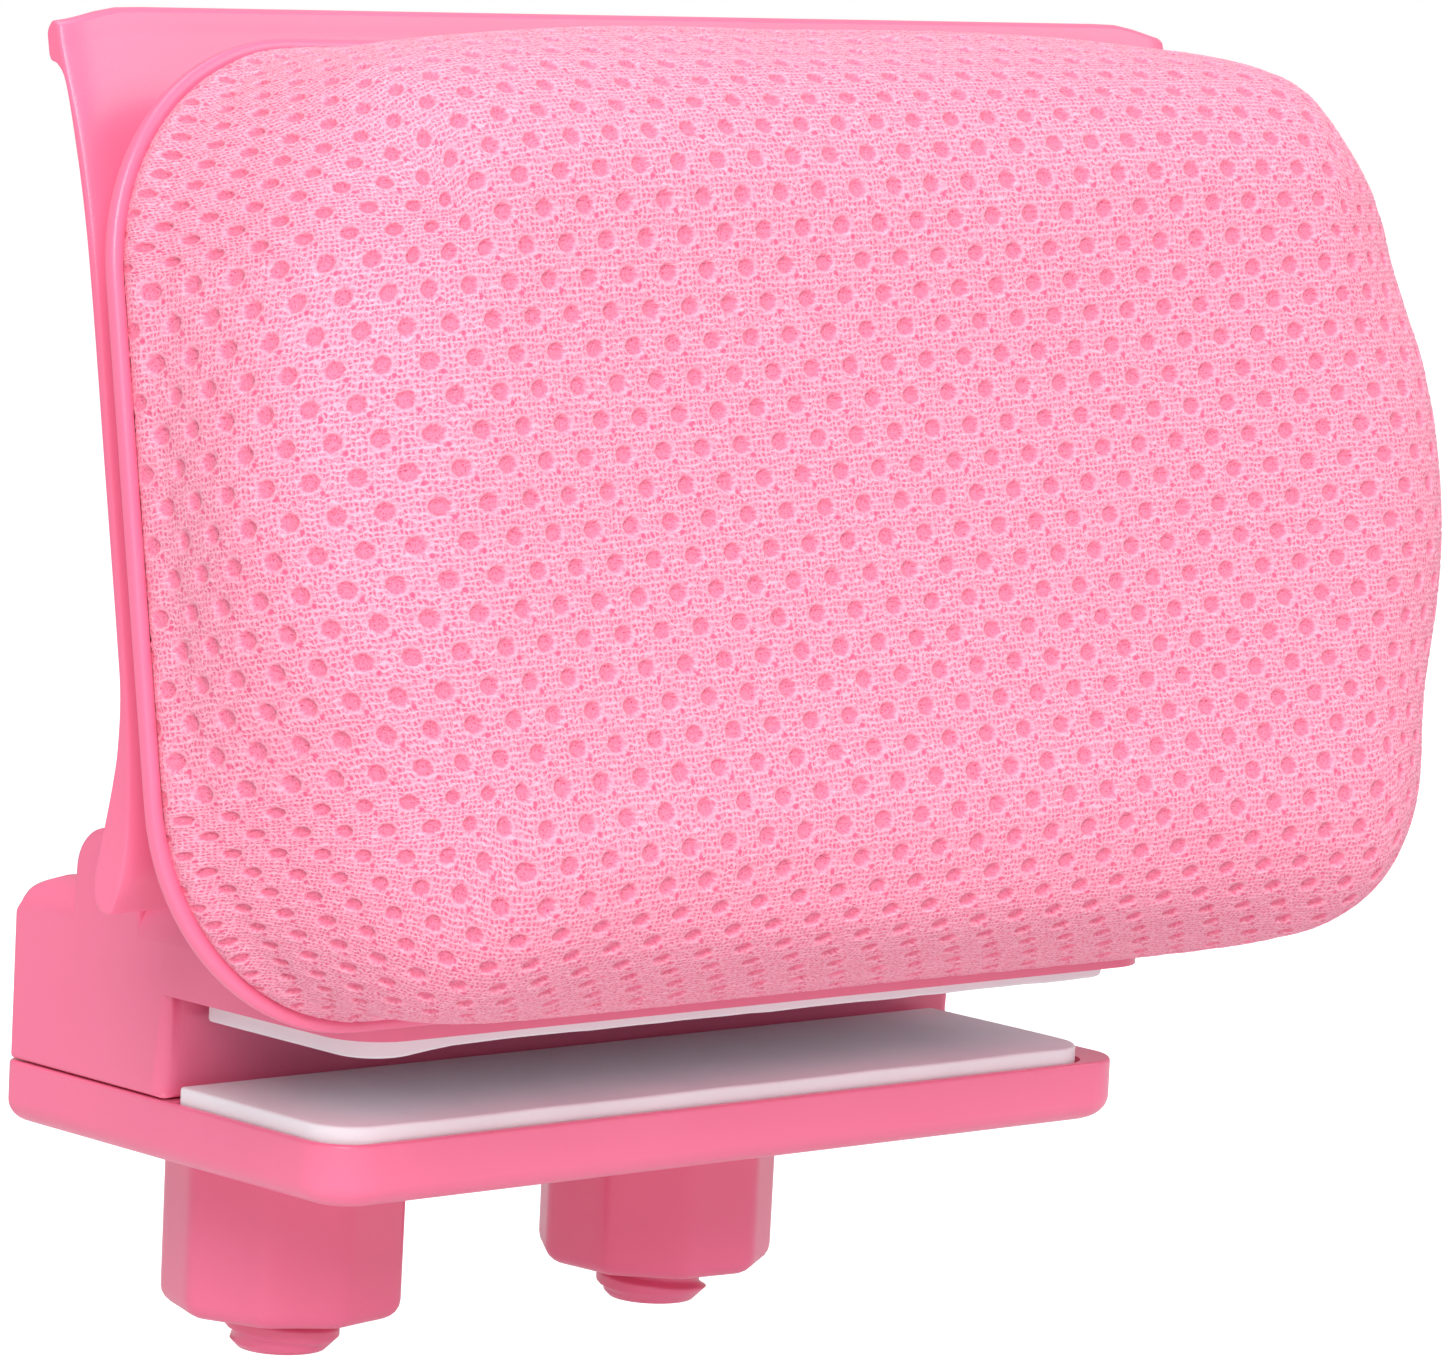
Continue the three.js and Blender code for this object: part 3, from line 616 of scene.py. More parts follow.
front = spline([(9.0, -67.4), (4.9, -62.3), (2.5, -56.4), (1, -48), (0.15, -38), (0, -26), (0, 0), (0, 24),
                (0.45, 38), (1.6, 51), (3.6, 62), (4.45, 66.5)], 5)
bead_angle = np.radians(np.linspace(152, -8, 12))
bead = np.column_stack([6.6 + BEAD_R * np.cos(bead_angle), 68.0 + BEAD_R * np.sin(bead_angle)])
rear = spline([(8.7, 65.2), (8.2, 64.2), (6.8, 63.4), (5.2, 60.6), (3.95, 52), (2.75, 38), (2.4, 24),
               (2.4, 0), (2.4, -26), (2.7, -35), (4.3, -42.8), (6.1, -47.8), (8.1, -52.4), (10.2, -57),
               (12.2, -61.6)], 4)
toe = spline([(12.6, -63.4), (12.4, -65.2), (11.6, -66.6), (10.4, -67.3)], 3)
sheet_section = np.vstack([front, bead, rear, toe])[::-1]
FILLET_WIDE, FILLET_DEEP = 5.5, 1.5  # the ends of the front are eased over this width and depth
facing_front = np.concatenate([smooth_step(front[:, 1], -67.4, -60), smooth_step(bead_angle, 0.9, 2.2),
                               np.zeros(len(rear) + len(toe))])[::-1]
inner_stations = (117.5, 116.8, 116, 115, 114, 113, 111, 107, 102, 96, 90, 82, 70, 55, 40, 25, 10)
stations = [(PLATE_HALF - drop, inset) for drop, inset in edge_round(0.3)]
stations += [(x, 0) for x in inner_stations]
stations += [(-x, inset) for x, inset in reversed(stations)]


def sheet_loop(x, inset):
    loop = offset_in(sheet_section, inset)
    top_drop = 2.2 * smooth_step(abs(x), 104, 119) ** 1.3
    bottom_rise = 1.5 * (1 - (x / PLATE_HALF) ** 2)
    share = smooth_step(loop[:, 1], 40, 66)
    low_share = smooth_step(-loop[:, 1], 58, 68) * smooth_step(-loop[:, 0], -14, -6)
    up = loop[:, 1] - top_drop * share + bottom_rise * low_share
    within = min(1, max(0, (abs(x) - PLATE_HALF + FILLET_WIDE) / FILLET_WIDE))
    back = loop[:, 0] + FILLET_DEEP * (1 - math.sqrt(1 - (0.985 * within) ** 2)) * facing_front
    return lean(np.column_stack([np.full(len(loop), x), back, up]))


back_plate = loft("back_plate_shape", [sheet_loop(x, inset) for x, inset in stations])


def hinge_arm(side):
    """Arm and knuckle in one section."""
    angle = np.radians(np.linspace(90, -174, 40))
    turn = np.column_stack([HINGE[0] + HINGE_R * np.cos(angle), HINGE[1] + HINGE_R * np.sin(angle)])
    outline = np.vstack([[(-14, 32.5)], turn, [(-14, 24.2)]])[::-1]
    loops = []
    for place, inset in [(58, 0.5), (58.5, 0), (70.5, 0), (71, 0.5)]:
        loops.append(np.column_stack([np.full(len(outline), side * place), offset_in(outline, inset)]))
    return loft("arm", loops)


leaf_levels = [(32.5, 0.5), (32.35, 0.15), (32, 0), (29, 0), (28.65, 0.15), (28.5, 0.5)]
leaf = slab("leaf", -71, 71, -25, 8, 3, leaf_levels)
combine(back_plate, [leaf, hinge_arm(-1), hinge_arm(1)], "UNION")
SHELL_SCREWS = [(-88, 22), (88, 22), (-88, -26), (88, -26)]
tools = [rod("bore", "x", 3.3, *sorted((side * 57, side * 72)), HINGE, 40) for side in (-1, 1)]
SCREW_HOLE_R = 2.1
angle = np.linspace(0, 2 * math.pi, 32, endpoint=False)
circle = np.column_stack([np.cos(angle), np.zeros(32), np.sin(angle)]) * SCREW_HOLE_R
for x, up_plate in SHELL_SCREWS:
    ring = circle + [x, 0, up_plate]
    tools.append(loft("hole", [lean(ring + [0, -3, 0]), lean(ring + [0, 8, 0])]))
combine(back_plate, tools, "DIFFERENCE")
shade(back_plate, 40)

# %% [markdown]
# ## Cushion shell
# The cushion sits in a shallow moulded dish with a narrow upright lip, on a raised hollow middle that meets
# the plate. All its outlines are rounded rectangles with equal point counts, so they loft into one skin.

# %% Cushion shell
CUSHION_HALF, CUSHION_LOW, CUSHION_HIGH, CUSHION_R = 126.0, -88.0, 63.0, 36.0


def cushion_ring(back, margin):
    outline = rounded_rect(-CUSHION_HALF + margin, CUSHION_HALF - margin, CUSHION_LOW + margin,
                           CUSHION_HIGH - margin, CUSHION_R - margin / 2, arc=20, side=16)
    return np.column_stack([outline[:, 0], np.full(len(outline), float(back)), outline[:, 1]])


def inner_ring(back, half_x, half_up, radius):
    outline = rounded_rect(-half_x, half_x, -half_up, half_up, radius, arc=20, side=16)
    return np.column_stack([outline[:, 0], np.full(len(outline), float(back)), outline[:, 1]])


lip = [(-12.2, 6), (-12.2, 2.7), (-12.5, 2.25), (-13.1, 2.15), (-13.5, 1.95), (-13.7, 1.45), (-13.7, 0.9),
       (-13.5, 0.3), (-13.05, 0), (-12, 0), (-11.5, 0.12), (-11.25, 0.6), (-10.9, 4), (-10.2, 11.6),
       (-10, 14)]
rings = [cushion_ring(back, margin) for back, margin in lip]
rings += [inner_ring(-10, 104, 44, 12), inner_ring(-0.8, 104, 44, 12), inner_ring(-0.3, 103.5, 43.5, 11.5),
          inner_ring(-0.3, 74.5, 40.5, 8.5), inner_ring(-0.8, 74, 40, 8), inner_ring(-9.6, 74, 40, 8),
          inner_ring(-10, 73.6, 39.6, 7.6)]
cushion_shell = loft("cushion_shell_shape", [lean(ring) for ring in rings])
shade(cushion_shell, 40)

# %% [markdown]
# ## Cushion: the start shape
# The foam is cut with a slightly hollow front and a large edge radius. To wrap a flat cloth round it, every
# surface point is named by its place on the flat cloth: a point of the core rectangle, plus a way outwards.

# %% Cushion: the start shape
CORE_X, CORE_LOW, CORE_HIGH = 90.0, -52.0, 27.0
FRONT_BACK, RIM_BACK = -58.6, -12.6
SIDE_SWELL, SIDE_PULL = 2.6, 5.4     # how far the short sides swell at mid-height and pull in at their ends
LEVEL_SWELL = 1.0                    # the same for the long sides, of which the lower one stays full
TOP_PULL, FOOT_PULL = 1.2, -2.0
TOP_CORNER_PULL, FOOT_CORNER_PULL = 3.0, 1.2


def edge_curve():
    """(outwards, back) from the core's edge over the rounded edge and down the side to the rim."""
    turn = np.radians(np.linspace(90, 0, 40))
    round_x = 9 + 25.6 * np.cos(turn) ** (2 / 2.25)
    round_back = -37 + (FRONT_BACK + 37) * np.sin(turn) ** (2 / 2.25)
    fall = np.linspace(0, 1, 20)[1:]
    wall_x = 34.6 + 0.35 * fall - 1.4 * smooth_step(fall, 0.86, 1.0)
    wall_back = -37 + (RIM_BACK + 37) * fall
    curve = np.vstack([[(0, FRONT_BACK)], np.column_stack([round_x, round_back]),
                       np.column_stack([wall_x, wall_back])])
    steps = np.linalg.norm(np.diff(curve, axis=0), axis=1)
    return np.concatenate([[0], np.cumsum(steps)]), curve


reach_along, reach_curve = edge_curve()
REACH = float(reach_along[-1])


def front_hollow(x, up):
    """The front of the foam is dished for the head: deepest in the middle, nothing at the ridge."""
    across = np.clip(1 - (np.abs(x) / 112) ** 2.5, 0, 1)
    height = np.clip(1 - (np.abs(up + 12.5) / 66) ** 2.5, 0, 1)
    return 4.2 * across * height


def wrapped(flat_x, flat_up):
    """Position and outward normal, in the leaning frame, of points given on the flat cloth."""
    core_x = np.clip(flat_x, -CORE_X, CORE_X)
    core_up = np.clip(flat_up, CORE_LOW, CORE_HIGH)
    away = np.stack([flat_x - core_x, flat_up - core_up], axis=-1)
    distance = np.linalg.norm(away, axis=-1)
    heading = away / np.maximum(distance, 1e-9)[..., None]
    outwards = np.interp(distance, reach_along, reach_curve[:, 0])
    back = np.interp(distance, reach_along, reach_curve[:, 1])
    nudge = 0.8
    slope_out, slope_back = (np.interp(distance + nudge, reach_along, reach_curve[:, column])
                             - np.interp(distance - nudge, reach_along, reach_curve[:, column])
                             for column in (0, 1))
    length = np.maximum(np.hypot(slope_out, slope_back), 1e-9)
    side_share, level_share = heading[..., 0] ** 2, heading[..., 1] ** 2
    height_share = (core_up - (CORE_LOW + CORE_HIGH) / 2) / ((CORE_HIGH - CORE_LOW) / 2)
    width_share = core_x / CORE_X
    swell = side_share * (SIDE_SWELL - (SIDE_SWELL + SIDE_PULL) * height_share ** 2)
    upper = heading[..., 1] > 0
    level_pull = np.where(upper, TOP_PULL, FOOT_PULL)
    swell += level_share * (LEVEL_SWELL - (LEVEL_SWELL + level_pull) * width_share ** 4)
    swell -= np.where(upper, TOP_CORNER_PULL, FOOT_CORNER_PULL) * 4 * side_share * level_share
    outwards = outwards + swell * smooth_step(RIM_BACK - back, 2, 26) * np.minimum(1, outwards / 20)
    out_x = core_x + outwards * heading[..., 0]
    out_up = core_up + outwards * heading[..., 1]
    position = np.stack([out_x, back + front_hollow(out_x, out_up) * (back < -50), out_up], axis=-1)
    normal = np.stack([heading[..., 0] * slope_back / length, -slope_out / length,
                       heading[..., 1] * slope_back / length], axis=-1)
    flat_front = distance < 1e-6
    normal[flat_front] = (0, -1, 0)
    return position, normal


def flat_patch(rings_out=44, corner_steps=18):
    """Flat cloth coordinates and faces of a patch: a grid on the core, and rings around it."""
    grid_x, grid_up = np.linspace(-CORE_X, CORE_X, 61), np.linspace(CORE_LOW, CORE_HIGH, 27)
    points = [(x, up_) for x in grid_x for up_ in grid_up]
    rows = len(grid_up)
    faces = [(i * rows + j, (i + 1) * rows + j, (i + 1) * rows + j + 1, i * rows + j + 1)
             for i in range(len(grid_x) - 1) for j in range(rows - 1)]
    border = []
    for x, up_, start in ((CORE_X, CORE_LOW, -90), (CORE_X, CORE_HIGH, 0), (-CORE_X, CORE_HIGH, 90),
                          (-CORE_X, CORE_LOW, 180)):
        border += [(x, up_, math.radians(start + turn)) for turn in np.linspace(0, 90, corner_steps + 1)]
        if start in (-90, 90):
            side = grid_up[1:-1] if start == -90 else grid_up[1:-1][::-1]
            border += [(x, value, math.radians(start + 90)) for value in side]
        else:
            side = grid_x[1:-1][::-1] if start == 0 else grid_x[1:-1]
            border += [(value, up_, math.radians(start + 90)) for value in side]
    base = len(points)
    distances = np.linspace(0, REACH, rings_out + 1)
    for distance in distances:
        points += [(x + distance * math.cos(turn), up_ + distance * math.sin(turn))
                   for x, up_, turn in border]
    count = len(border)
    for ring in range(rings_out):
        for k in range(count):
            following = (k + 1) % count
            faces.append((base + ring * count + k, base + ring * count + following,
                          base + (ring + 1) * count + following, base + (ring + 1) * count + k))
    return np.array(points), faces, base + rings_out * count, count


flat_points, patch_faces, rim_start, rim_count = flat_patch()
patch_start, patch_normal = wrapped(flat_points[:, 0], flat_points[:, 1])
print("cloth reaches", round(REACH, 1), "mm past the core;", len(flat_points), "patch points")

# %% [markdown]
# ## Cushion: cloth simulation
# The cover is pulled tight over foam, so its panels swell a little and its edges stay soft. A closed block
# is remeshed to even faces and blown up slightly as cloth, held at its rim; no point may move far.

# %% Cushion: cloth simulation
def cushion_block():
    """A closed block a little smaller than the finished cushion."""
    inset = patch_start - patch_normal * 0.9
    block = new_object("cushion_block", lean(inset) * MM,
                       patch_faces + [tuple(range(rim_start, rim_start + rim_count))])
    skin = bmesh.new()
    skin.from_mesh(block.data)
    bmesh.ops.remove_doubles(skin, verts=skin.verts, dist=0.05 * MM)
    bmesh.ops.recalc_face_normals(skin, faces=skin.faces)
    skin.to_mesh(block.data)
    skin.free()
    remesh = block.modifiers.new("even_faces", "REMESH")
    remesh.mode = "VOXEL"
    remesh.voxel_size = 4.5 * MM
    return settle(block)


def leaning_back(points):
    """How far points are behind the plate's front face, and how far up it, in millimetres."""
    y, z = points[:, 1] / MM - PLATE_Y, points[:, 2] / MM - PLATE_Z
    back = y * math.cos(LEAN) - z * math.sin(LEAN)
    up_ = y * math.sin(LEAN) + z * math.cos(LEAN)
    return back, up_


def positions(mesh):
    values = np.empty(len(mesh.vertices) * 3)
    mesh.vertices.foreach_get("co", values)
    return values.reshape(-1, 3)


def blow_up(block, frames=20):
    start = positions(block.data)
    back, up_ = leaning_back(start)
    held = block.vertex_groups.new(name="rim")
    for index in np.flatnonzero(back > -19):
        held.add([int(index)], float(min(1, (back[index] + 19) / 4)), "REPLACE")
    cloth = block.modifiers.new("cloth", "CLOTH")
    cloth.settings.quality = 6
    cloth.settings.mass = 0.25
    cloth.settings.tension_stiffness = 22
    cloth.settings.compression_stiffness = 22
    cloth.settings.bending_stiffness = 1.2
    cloth.settings.use_pressure = True
    cloth.settings.uniform_pressure_force = 4
    cloth.settings.vertex_group_mass = "rim"
    cloth.settings.effector_weights.gravity = 0
    cloth.point_cache.frame_start, cloth.point_cache.frame_end = 1, frames
    for number in range(1, frames + 1):
        scene.frame_set(number)
    settle(block)
    moved = positions(block.data) - start
    share_x = np.clip(np.abs(start[:, 0]) / MM / 100, 0, 1)
    share_up = np.clip(np.abs(up_ + 12.5) / 58, 0, 1)
    on_front = smooth_step(-back, 50, 56)
    cap = 2.6 - on_front * (2.0 - 1.6 * np.maximum(share_x, share_up) ** 3)
    length = np.linalg.norm(moved, axis=1)
    share = np.minimum(1, cap * MM / np.maximum(length, 1e-9))
    block.data.vertices.foreach_set("co", (start + moved * share[:, None]).ravel())
    scene.frame_set(1)
    print("cloth moved", round(float(length.max() / MM), 1), "mm, kept to", round(float(cap.max()), 1))
    return block


block = cushion_block()
blow_up(block)
smooth = block.modifiers.new("smooth", "CORRECTIVE_SMOOTH")
smooth.iterations = 6
smooth.use_only_smooth = True
finer = block.modifiers.new("finer", "SUBSURF")
finer.levels = finer.render_levels = 1
settle(block)

# %% [markdown]
# ## Cushion: carrying the flat cloth onto the blown-up block
# The block lost its flat coordinates when it was remeshed, so the patch is laid on it again: a ray runs
# inwards from each patch point along its normal, and where it meets the block is the point's new place.

# %% Cushion: lay the patch on the block
UV_SPAN = 0.4                        # metres of flat cloth across the whole UV square
surface = BVHTree.FromObject(block, bpy.context.evaluated_depsgraph_get())


def lay_on(points, normals, lift=14):
    world = lean(points) * MM
    aim = lean(points + normals) * MM - world
    aim /= np.linalg.norm(aim, axis=1, keepdims=True)
    laid = world.copy()
    for index, (place, away) in enumerate(zip(world, aim)):
        hit = surface.ray_cast(Vector(place + away * lift * MM), Vector(-away), 2.5 * lift * MM)[0]
        if hit is not None:
            laid[index] = hit
    return laid


laid = lay_on(patch_start, patch_normal)
from_rim = RIM_BACK - patch_start[:, 1]
held_share = (1 - smooth_step(from_rim, 2, 9))[:, None]
laid = laid * (1 - held_share) + lean(patch_start) * MM * held_share
patch = new_object("cloth_patch", laid, patch_faces)
uv_layer = patch.data.uv_layers.new(name="flat")
flat_uv = flat_points * MM / UV_SPAN + 0.5
for loop in patch.data.loops:
    uv_layer.data[loop.index].uv = flat_uv[loop.vertex_index]
skin = bmesh.new()
skin.from_mesh(patch.data)
bmesh.ops.remove_doubles(skin, verts=skin.verts, dist=0.05 * MM)
bmesh.ops.smooth_vert(skin, verts=[v for v in skin.verts if not v.is_boundary], factor=0.5,
                      use_axis_x=True, use_axis_y=True, use_axis_z=True)
skin.normal_update()
centre = Vector(lean((0, -30, -12)) * MM)
if sum((face.calc_center_median() - centre).dot(face.normal) for face in skin.faces) < 0:
    bmesh.ops.reverse_faces(skin, faces=skin.faces)
skin.to_mesh(patch.data)
skin.free()
print("patch laid:", len(patch.data.vertices), "points")

# %% [markdown]
# ## Cushion: perforated knit
# The cover is a spacer knit: an open face with staggered oval holes over a deeper ground. One cell with its
# hole is modelled; its border has the same points on opposite sides, so that neighbours weld together.

# %% One cell of the knit
CELL_PITCH, CELL_ROW = 8.1, 5.35
HOLE_WIDE, HOLE_HIGH, HOLE_DEEP = 3.5, 2.8, 0.7


def knit_cell():
    """A brick-shaped cell: border, two rings of face cloth, the hole's wall and its sunken ground."""
    x, up_ = CELL_PITCH / 2, CELL_ROW / 2
    border = np.array([(x, 0), (x, up_), (x / 2, up_), (0, up_), (-x / 2, up_), (-x, up_), (-x, 0),
                       (-x, -up_), (-x / 2, -up_), (0, -up_), (x / 2, -up_), (x, -up_)])
    angle = np.radians([0, 34, 62, 90, 118, 146, 180, 214, 242, 270, 298, 326])
    power = 2 / 1.8
    oval = np.column_stack([np.sign(np.cos(angle)) * np.abs(np.cos(angle)) ** power * HOLE_WIDE / 2,
                            np.sign(np.sin(angle)) * np.abs(np.sin(angle)) ** power * HOLE_HIGH / 2])
    middle = oval * 1.45 * 0.6 + border * 0.4
    rings = [(border, 0), (middle, 0.1), (oval * 1.16, 0.0), (oval, -0.22), (oval * 0.8, -HOLE_DEEP)]
    points = [(px * MM, py * MM, height * MM) for outline, height in rings for px, py in outline]
    points.append((0, 0, (-HOLE_DEEP + 0.15) * MM))
    faces = []
    for ring in range(len(rings) - 1):
        for k in range(12):
            following = (k + 1) % 12
            near, far = ring * 12, (ring + 1) * 12
            faces.append((near + k, near + following, far + following, far + k))
    last = (len(rings) - 1) * 12
    faces += [(last + k, last + (k + 1) % 12, len(points) - 1) for k in range(12)]
    mesh = bpy.data.meshes.new("knit_cell")
    mesh.from_pydata(points, [], faces)
    cell = bpy.data.objects.new("knit_cell", mesh)
    scene.collection.objects.link(cell)
    return cell


cell = knit_cell()
print("cell:", len(cell.data.polygons), "faces")

# %% [markdown]
# ## Cushion: repeating the cell
# The whole cover is one cell over and over, so Geometry Nodes repeat it in offset rows on the flat cloth,
# weld the copies, trim them at the rim and wrap them onto the patch by its flat coordinates.

# %% Geometry Nodes: repeat and wrap the cells
RIM_FADE = 0.004                     # metres over which the relief dies out at the rim
TRIM_PAST = 0.0022                   # cells are kept this far past the rim, then drawn in to it
WELD = 0.00004


class Tree:
    """Short forms for building a Geometry Nodes tree."""

    def __init__(self, name, inputs):
        self.tree = bpy.data.node_groups.new(name, "GeometryNodeTree")
        face = self.tree.interface
        face.new_socket("Geometry", in_out="OUTPUT", socket_type="NodeSocketGeometry")
        self.sockets = {}
        for label, kind in inputs:
            self.sockets[label] = face.new_socket(label, in_out="INPUT", socket_type=kind).identifier
        self.given = self.tree.nodes.new("NodeGroupInput").outputs
        self.result = self.tree.nodes.new("NodeGroupOutput").inputs

    def add(self, kind, settings=None, **inputs):
        node = self.tree.nodes.new(kind)
        for key, value in (settings or {}).items():
            setattr(node, key, value)
        for key, value in inputs.items():
            self.feed(node.inputs[key.replace("_", " ")], value)
        return node

    def feed(self, socket, value):
        if isinstance(value, bpy.types.NodeSocket):
            self.tree.links.new(value, socket)
        else:
            socket.default_value = value

    def maths(self, operation, *values, kind="ShaderNodeMath"):
        node = self.tree.nodes.new(kind)
        node.operation = operation
        for socket, value in zip(node.inputs, values):
            self.feed(socket, value)
        if kind == "ShaderNodeMath" or operation not in ("LENGTH", "DOT_PRODUCT"):
            return node.outputs[0]
        return node.outputs["Value"]

    def vector(self, operation, *values):
        return self.maths(operation, *values, kind="ShaderNodeVectorMath")

    def scaled(self, vector, factor):
        node = self.add("ShaderNodeVectorMath", {"operation": "SCALE"}, Scale=factor)
        self.feed(node.inputs[0], vector)
        return node.outputs[0]

    def stored(self, geometry, name, value, kind="FLOAT_VECTOR", domain="POINT"):
        node = self.add("GeometryNodeStoreNamedAttribute", {"data_type": kind, "domain": domain},
                        Geometry=geometry, Name=name, Value=value)
        return node.outputs[0]

    def named(self, name, kind="FLOAT_VECTOR"):
        return self.add("GeometryNodeInputNamedAttribute", {"data_type": kind}, Name=name).outputs[0]


def perforated_knit_tree():
    tree = Tree("perforated_knit", [
        ("Patch", "NodeSocketGeometry"), ("Cell", "NodeSocketObject"), ("Pitch", NUMBER),
        ("Row spacing", NUMBER), ("Columns", "NodeSocketInt"), ("Rows", "NodeSocketInt"),
        ("Middle", VECTOR), ("Core low", VECTOR), ("Core high", VECTOR), ("Reach", NUMBER),
        ("UV span", NUMBER), ("Pattern turn", NUMBER), ("Material", "NodeSocketMaterial")])
    given = tree.given
    gaps_x = tree.maths("SUBTRACT", given["Columns"], 1.0)
    gaps_y = tree.maths("SUBTRACT", given["Rows"], 1.0)
    width = tree.maths("MULTIPLY", gaps_x, given["Pitch"])
    height = tree.maths("MULTIPLY", gaps_y, given["Row spacing"])
    grid = tree.add("GeometryNodeMeshGrid", Size_X=width, Size_Y=height, Vertices_X=given["Columns"],
                    Vertices_Y=given["Rows"])
    here = tree.add("GeometryNodeInputPosition").outputs[0]
    split = tree.add("ShaderNodeSeparateXYZ", Vector=here)
    from_low = tree.maths("ADD", split.outputs["Y"], tree.maths("MULTIPLY", height, 0.5))
    row = tree.maths("ROUND", tree.maths("DIVIDE", from_low, given["Row spacing"]))
    odd = tree.maths("MODULO", row, 2.0)
    shift = tree.maths("MULTIPLY", tree.maths("MULTIPLY", odd, given["Pitch"]), 0.5)
    offset = tree.vector("ADD", tree.add("ShaderNodeCombineXYZ", X=shift).outputs[0], given["Middle"])
    staggered = tree.add("GeometryNodeSetPosition", Geometry=grid.outputs["Mesh"], Offset=offset)
    shape = tree.add("GeometryNodeObjectInfo", Object=given["Cell"])
    cells = tree.add("GeometryNodeInstanceOnPoints", Points=staggered.outputs[0],
                     Instance=shape.outputs["Geometry"])
    real = tree.add("GeometryNodeRealizeInstances", Geometry=cells.outputs[0])
    welded = tree.add("GeometryNodeMergeByDistance", Geometry=real.outputs[0], Distance=WELD)
    spot = tree.add("ShaderNodeSeparateXYZ", Vector=here)
    straight = tree.add("ShaderNodeCombineXYZ", X=spot.outputs["X"], Y=spot.outputs["Y"]).outputs[0]
    turned_flat = tree.add("ShaderNodeVectorRotate", {"rotation_type": "Z_AXIS"}, Vector=straight,
                           Center=given["Middle"], Angle=given["Pattern turn"])
    flat = turned_flat.outputs[0]
    core = tree.vector("MINIMUM", tree.vector("MAXIMUM", flat, given["Core low"]), given["Core high"])
    away = tree.vector("SUBTRACT", flat, core)
    distance = tree.vector("LENGTH", away)
    beyond = tree.maths("GREATER_THAN", distance, tree.maths("ADD", given["Reach"], TRIM_PAST))
    kept = tree.add("GeometryNodeDeleteGeometry", Geometry=welded.outputs[0], Selection=beyond)
    short = tree.maths("DIVIDE", tree.maths("MINIMUM", distance, given["Reach"]),
                       tree.maths("MAXIMUM", distance, 1e-7))
    on_cloth = tree.vector("ADD", core, tree.scaled(away, short))
    spanned = tree.scaled(on_cloth, tree.maths("DIVIDE", 1.0, given["UV span"]))
    coordinate = tree.vector("ADD", spanned, (0.5, 0.5, 0.0))
    saved = tree.stored(kept.outputs[0], "flat_place", coordinate)
    knitted = tree.vector("ADD", tree.vector("DIVIDE", straight, (UV_SPAN, UV_SPAN, 1.0)), (0.5, 0.5, 0.0))
    patterned = tree.stored(saved, "knit_place", knitted)
    to_rim = tree.maths("DIVIDE", tree.maths("SUBTRACT", given["Reach"], distance), RIM_FADE)
    flattened = tree.tree.nodes.new("ShaderNodeClamp")
    tree.feed(flattened.inputs[0], to_rim)
    height_here = tree.maths("MULTIPLY", spot.outputs["Z"], flattened.outputs[0])
    relief = tree.stored(patterned, "relief", height_here, "FLOAT")
    read, lift, flat_map = tree.named("flat_place"), tree.named("relief", "FLOAT"), tree.named("flat")
    normal = tree.add("GeometryNodeInputNormal").outputs[0]
    sampled = []
    for value in (here, normal):
        sample = tree.tree.nodes.new("GeometryNodeSampleUVSurface")
        sample.data_type = "FLOAT_VECTOR"
        tree.feed(sample.inputs["Mesh"], given["Patch"])
        tree.feed(sample.inputs["Value"], value)
        tree.feed(sample.inputs["UV Map"], flat_map)
        tree.feed(sample.inputs["Sample UV"], read)
        sampled.append(sample.outputs["Value"])
    raised = tree.scaled(tree.vector("NORMALIZE", sampled[1]), lift)
    wrapped_place = tree.vector("ADD", sampled[0], raised)
    placed = tree.add("GeometryNodeSetPosition", Geometry=relief, Position=wrapped_place)
    mapped = tree.stored(placed.outputs[0], "cloth", tree.named("knit_place"), "FLOAT2", "CORNER")
    smoothed = tree.add("GeometryNodeSetShadeSmooth", Geometry=mapped)
    finish = tree.add("GeometryNodeSetMaterial", Geometry=smoothed.outputs[0], Material=given["Material"])
    tree.feed(tree.result[0], finish.outputs[0])
    return tree


# %% [markdown]
# ## Knit finish
# Fine wandering threads cross about every millimetre: pale ribs and columns over a deeper ground, with pin
# holes between them and an eye beside each hole. All of it follows the cloth's own flat coordinates.

# %% Shader group: knit
knit, knit_in, knit_out = shader_group(
    "knit_threads", [("Vector", VECTOR, None), ("Span", NUMBER, UV_SPAN / MM), ("Thread", NUMBER, 0.95)],
    [("Threads", NUMBER), ("Gaps", NUMBER), ("Holes", NUMBER), ("Specks", NUMBER), ("Height", NUMBER)])
scaled = knit.nodes.new("ShaderNodeVectorMath")
scaled.operation = "SCALE"
knit.links.new(knit_in.outputs["Vector"], scaled.inputs[0])
knit.links.new(knit_in.outputs["Span"], scaled.inputs["Scale"])


def shifted(vector, scale, amount):
    """The vector pushed about by noise, which keeps threads from being ruler-straight."""
    wander = knit.nodes.new("ShaderNodeTexNoise")
    wander.inputs["Scale"].default_value = scale
    wander.inputs["Detail"].default_value = 2
    knit.links.new(vector, wander.inputs["Vector"])
    push = knit.nodes.new("ShaderNodeVectorMath")
    push.operation = "MULTIPLY_ADD"
    push.inputs[1].default_value = (amount, amount, 0)
    knit.links.new(wander.outputs["Color"], push.inputs[0])
    knit.links.new(vector, push.inputs[2])
    return push.outputs[0]


def stripes(value, pitch, power):
    wave = maths(knit, "COSINE", maths(knit, "MULTIPLY", maths(knit, "DIVIDE", value, pitch), 2 * math.pi))
    return maths(knit, "POWER", maths(knit, "MULTIPLY_ADD", wave, 0.5, 0.5), power)


